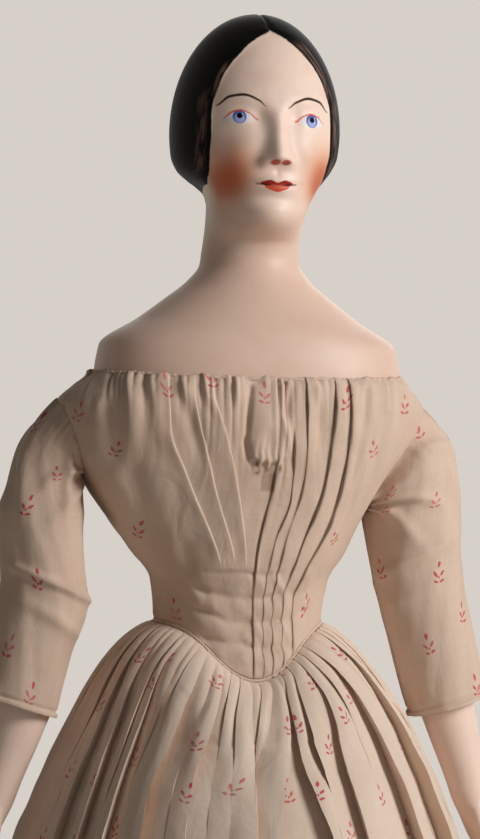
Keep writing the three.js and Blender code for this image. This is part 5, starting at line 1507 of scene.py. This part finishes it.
def makeCuff(name, limb, china, pivot, direction, clear, stub, body):
    look = cuffLook
    piece, u, v = newGrid(f"{name}_{limb}_cloth_cuff", look["columns"], look["rows"])
    turn = 2 * np.pi * u
    along = clear + look["gap"] + (1 - v) * look["length"]
    tie = clear + look["gap"] + look["tieShare"] * look["length"]
    pinch = bell(along - tie, 1.3)
    size = stub + look["proud"] + (0.35 - 0.55 * pinch) * (1 + 0.6 * np.sin(look["gathers"] * turn)) * 0.6
    setPlaces(piece, *aroundAxis(pivot, direction, along, size, turn).T)
    setCut(piece, turn * stub, along)
    mergeSeam(piece)
    layCloth(piece, look["wall"])
    settle(piece, muslin, f"{name}_{limb}_cuff", body)
    angle = np.linspace(0, 2 * np.pi * look["turns"], look["turns"] * look["stepsPerTurn"])
    where = tie + look["pitch"] * (angle / (2 * np.pi) - look["turns"] / 2)
    ring = stub + look["threadOut"] + 0.08 * np.sin(look["gathers"] * angle)
    path = aroundAxis(pivot, direction, where, ring, angle)
    thread = roundTube(f"{name}_{limb}_thread_binding", path, look["thread"], 8)
    settle(thread, linenThread, f"{name}_{limb}_binding", body)


for sideName, sideSign in sides.items():
    mirror = np.array([sideSign, 1, 1])
    makeCuff(sideName, "arm", "china_forearm", elbow * mirror, downLimb(forearmLean, sideSign), *forearmStations[0][:2],
             f"{sideName}_forearm")
    makeCuff(sideName, "leg", "china_lower_leg", knee * mirror, (0, 0, -1), *legStations[0][:2], f"{sideName}_shin")
print("cuffs made")


# ties through the sew holes, hooks and eyes
tieLook = dict(radius=0.6, bend=1.4)
hookLook = dict(count=4, wire=0.4, loop=1.5, crook=0.75)


def makeTies():
    thick, bend = tieLook["radius"], tieLook["bend"]
    for face, ahead in (("front", 1), ("back", -1)):
        for name in sides:
            low, high = nodeBox(f"head_stitch_{face}_{name}")
            x = 0.5 * (low[0] + high[0])
            inner, outer = (high[1], low[1]) if ahead > 0 else (low[1], high[1])
            inner, outer = inner - ahead * thick, outer + ahead * thick
            top, foot = high[2] - thick, low[2] + thick
            through = 0.4 * inner + 0.6 * outer
            path = [(x, inner, top), (x, through, top), (x, outer, top - bend), (x, outer, 0.5 * (top + foot)),
                    (x, outer, foot + bend), (x, through, foot), (x, inner, foot)]
            tie = roundTube(f"head_tie_{face}_{name}", path, thick)
            settle(tie, linenThread, f"head_stitch_{face}_{name}", "torso")


def makeHooks():
    crook, loop = hookLook["crook"], hookLook["loop"]
    for number in range(1, hookLook["count"] + 1):
        low, high = nodeBox(f"back_hook_{number}")
        z = 0.5 * (low[2] + high[2])
        y = low[1] + hookLook["wire"]
        bent = [(-0.1 - 0.8 * np.sin(t), y + crook + crook * np.cos(t), z) for t in np.linspace(0, np.pi, 9)[:6]]
        hook = [(6.0, y, z), (4.6, y, z + 0.02), (3.2, y, z), (2.2, y + 0.9, z), (1.4, y + 1.5, z)] + bent
        arc = [(-0.7 + loop * np.cos(t), y, z + loop * np.sin(t)) for t in np.linspace(-np.pi / 2, np.pi / 2, 11)]
        eye = [(-5.4, y, z - loop), (-3, y, z - loop)] + arc + [(-3, y, z + loop), (-5.4, y, z + loop)]
        for kind, path in (("hook", hook), ("eye", eye)):
            wire = roundTube(f"{kind}_{number}", path, hookLook["wire"])
            settle(wire, brassWire, f"back_{kind}_{number}", "torso")


makeTies()
makeHooks()
print("ties and fastenings made")


# stage: a round pale floor that fades into an even pale backdrop, soft studio light from the front right
stageLook = dict(radius=1500, drop=0.2, paper="#ece7e0", shade="#e2dcd4", backdrop="#d6d0c9", ambient=0.15)


# one for rays that see or mirror the backdrop, zero for those that light the doll
def seenDirectly(tree):
    path = addNode(tree, "LightPath").node.outputs
    seen = addNode(tree, "Math", {0: path["Is Camera Ray"], 1: path["Is Glossy Ray"]}, operation="MAXIMUM")
    return addNode(tree, "Math", {0: seen, 1: path["Is Transmission Ray"]}, operation="MAXIMUM")


# pale paper: matt, faintly uneven, further off seen as even as the backdrop
def makePaper():
    material, tree, surface = newMaterial("pale_paper", {"Roughness": 0.9})
    place = addNode(tree, "TexCoord", output="Object")
    tone = addNode(tree, "TexNoise", {"Vector": place, "Scale": 3.0, "Detail": 2.0})
    colour = layOver(tree, stageLook["paper"], stageLook["shade"], tone, 0.3, 0.7, 0.3)
    tree.links.new(colour, surface["Base Color"])
    reach = addNode(tree, "VectorMath", {0: place}, "Value", operation="LENGTH")
    far = addNode(tree, "MapRange", {0: reach, 1: 0.2, 2: 0.75}, **smoothStep)
    away = addNode(tree, "Math", {0: far, 1: seenDirectly(tree)}, operation="MULTIPLY")
    even = addNode(tree, "Emission", {"Color": stageLook["backdrop"]})
    blended = addNode(tree, "MixShader", {0: away, 1: tree.nodes["Principled BSDF"].outputs[0], 2: even})
    tree.links.new(blended, tree.nodes["Material Output"].inputs["Surface"])
    return material


def makeFloor():
    piece, u, v = newGrid("pale_round_floor", 96, 12)
    reach, turn = stageLook["radius"] * v, 2 * np.pi * u
    setPlaces(piece, -reach * np.cos(turn), reach * np.sin(turn), 0 * u - stageLook["drop"])
    mergeSeam(piece)
    cover(piece, makePaper())


lampLook = (dict(name="key", place=(0.57, -0.55, 0.69), size=0.3, power=6.2),
            dict(name="fill", place=(-1.6, -1.3, 0.7), size=1.6, power=0.6),
            dict(name="back", place=(0.7, 1.5, 1.3), size=1.4, power=10.0))
lampAim = (0, 0, 0.38)


def makeLamps():
    for lamp in lampLook:
        bpy.ops.object.light_add(type="AREA", location=lamp["place"])
        light = bpy.context.object
        light.name = lamp["name"]
        light.data.energy = lamp["power"]
        light.data.size = lamp["size"]
        aim = Vector(lampAim) - light.location
        light.rotation_euler = aim.to_track_quat("-Z", "Y").to_euler()
    world = bpy.context.scene.world or bpy.data.worlds.new("studio")
    bpy.context.scene.world = world
    world.use_nodes = True
    tree = world.node_tree
    sky = tree.nodes["Background"]
    sky.inputs[0].default_value = toLinear(stageLook["backdrop"])
    # seen and mirrored at full level, lighting the doll at a lower one
    level = addNode(tree, "MapRange", {0: seenDirectly(tree), 3: stageLook["ambient"]}, **smoothStep)
    tree.links.new(level, sky.inputs[1])


# camera at the photograph's angle: a little to the doll's right, level with the bust
cameraLook = dict(azimuth=-15.0, distance=1100.0, height=398.0, axisY=-5.3, aside=-1.9, roll=1.2, field=15.2,
                  sensor=36.0)


def makeCamera():
    look = cameraLook
    turn = np.radians(look["azimuth"])
    right = Vector((np.cos(turn), np.sin(turn), 0))
    back = Vector((np.sin(turn), -np.cos(turn), 0))
    target = Vector((0, look["axisY"], look["height"])) + look["aside"] * right
    bpy.ops.object.camera_add(location=(target + look["distance"] * back) * mm)
    camera = bpy.context.object
    aim = (-back).to_track_quat("-Z", "Y").to_matrix()
    camera.rotation_euler = (aim @ Matrix.Rotation(np.radians(look["roll"]), 3, "Z")).to_euler()
    camera.data.sensor_fit = "VERTICAL"
    camera.data.sensor_height = look["sensor"]
    camera.data.lens = look["sensor"] / 2 / np.tan(np.radians(look["field"] / 2))
    bpy.context.scene.camera = camera


makeFloor()
makeLamps()
makeCamera()
bpy.context.scene.view_settings.view_transform = "Standard"
print("stage, lamps and camera made")
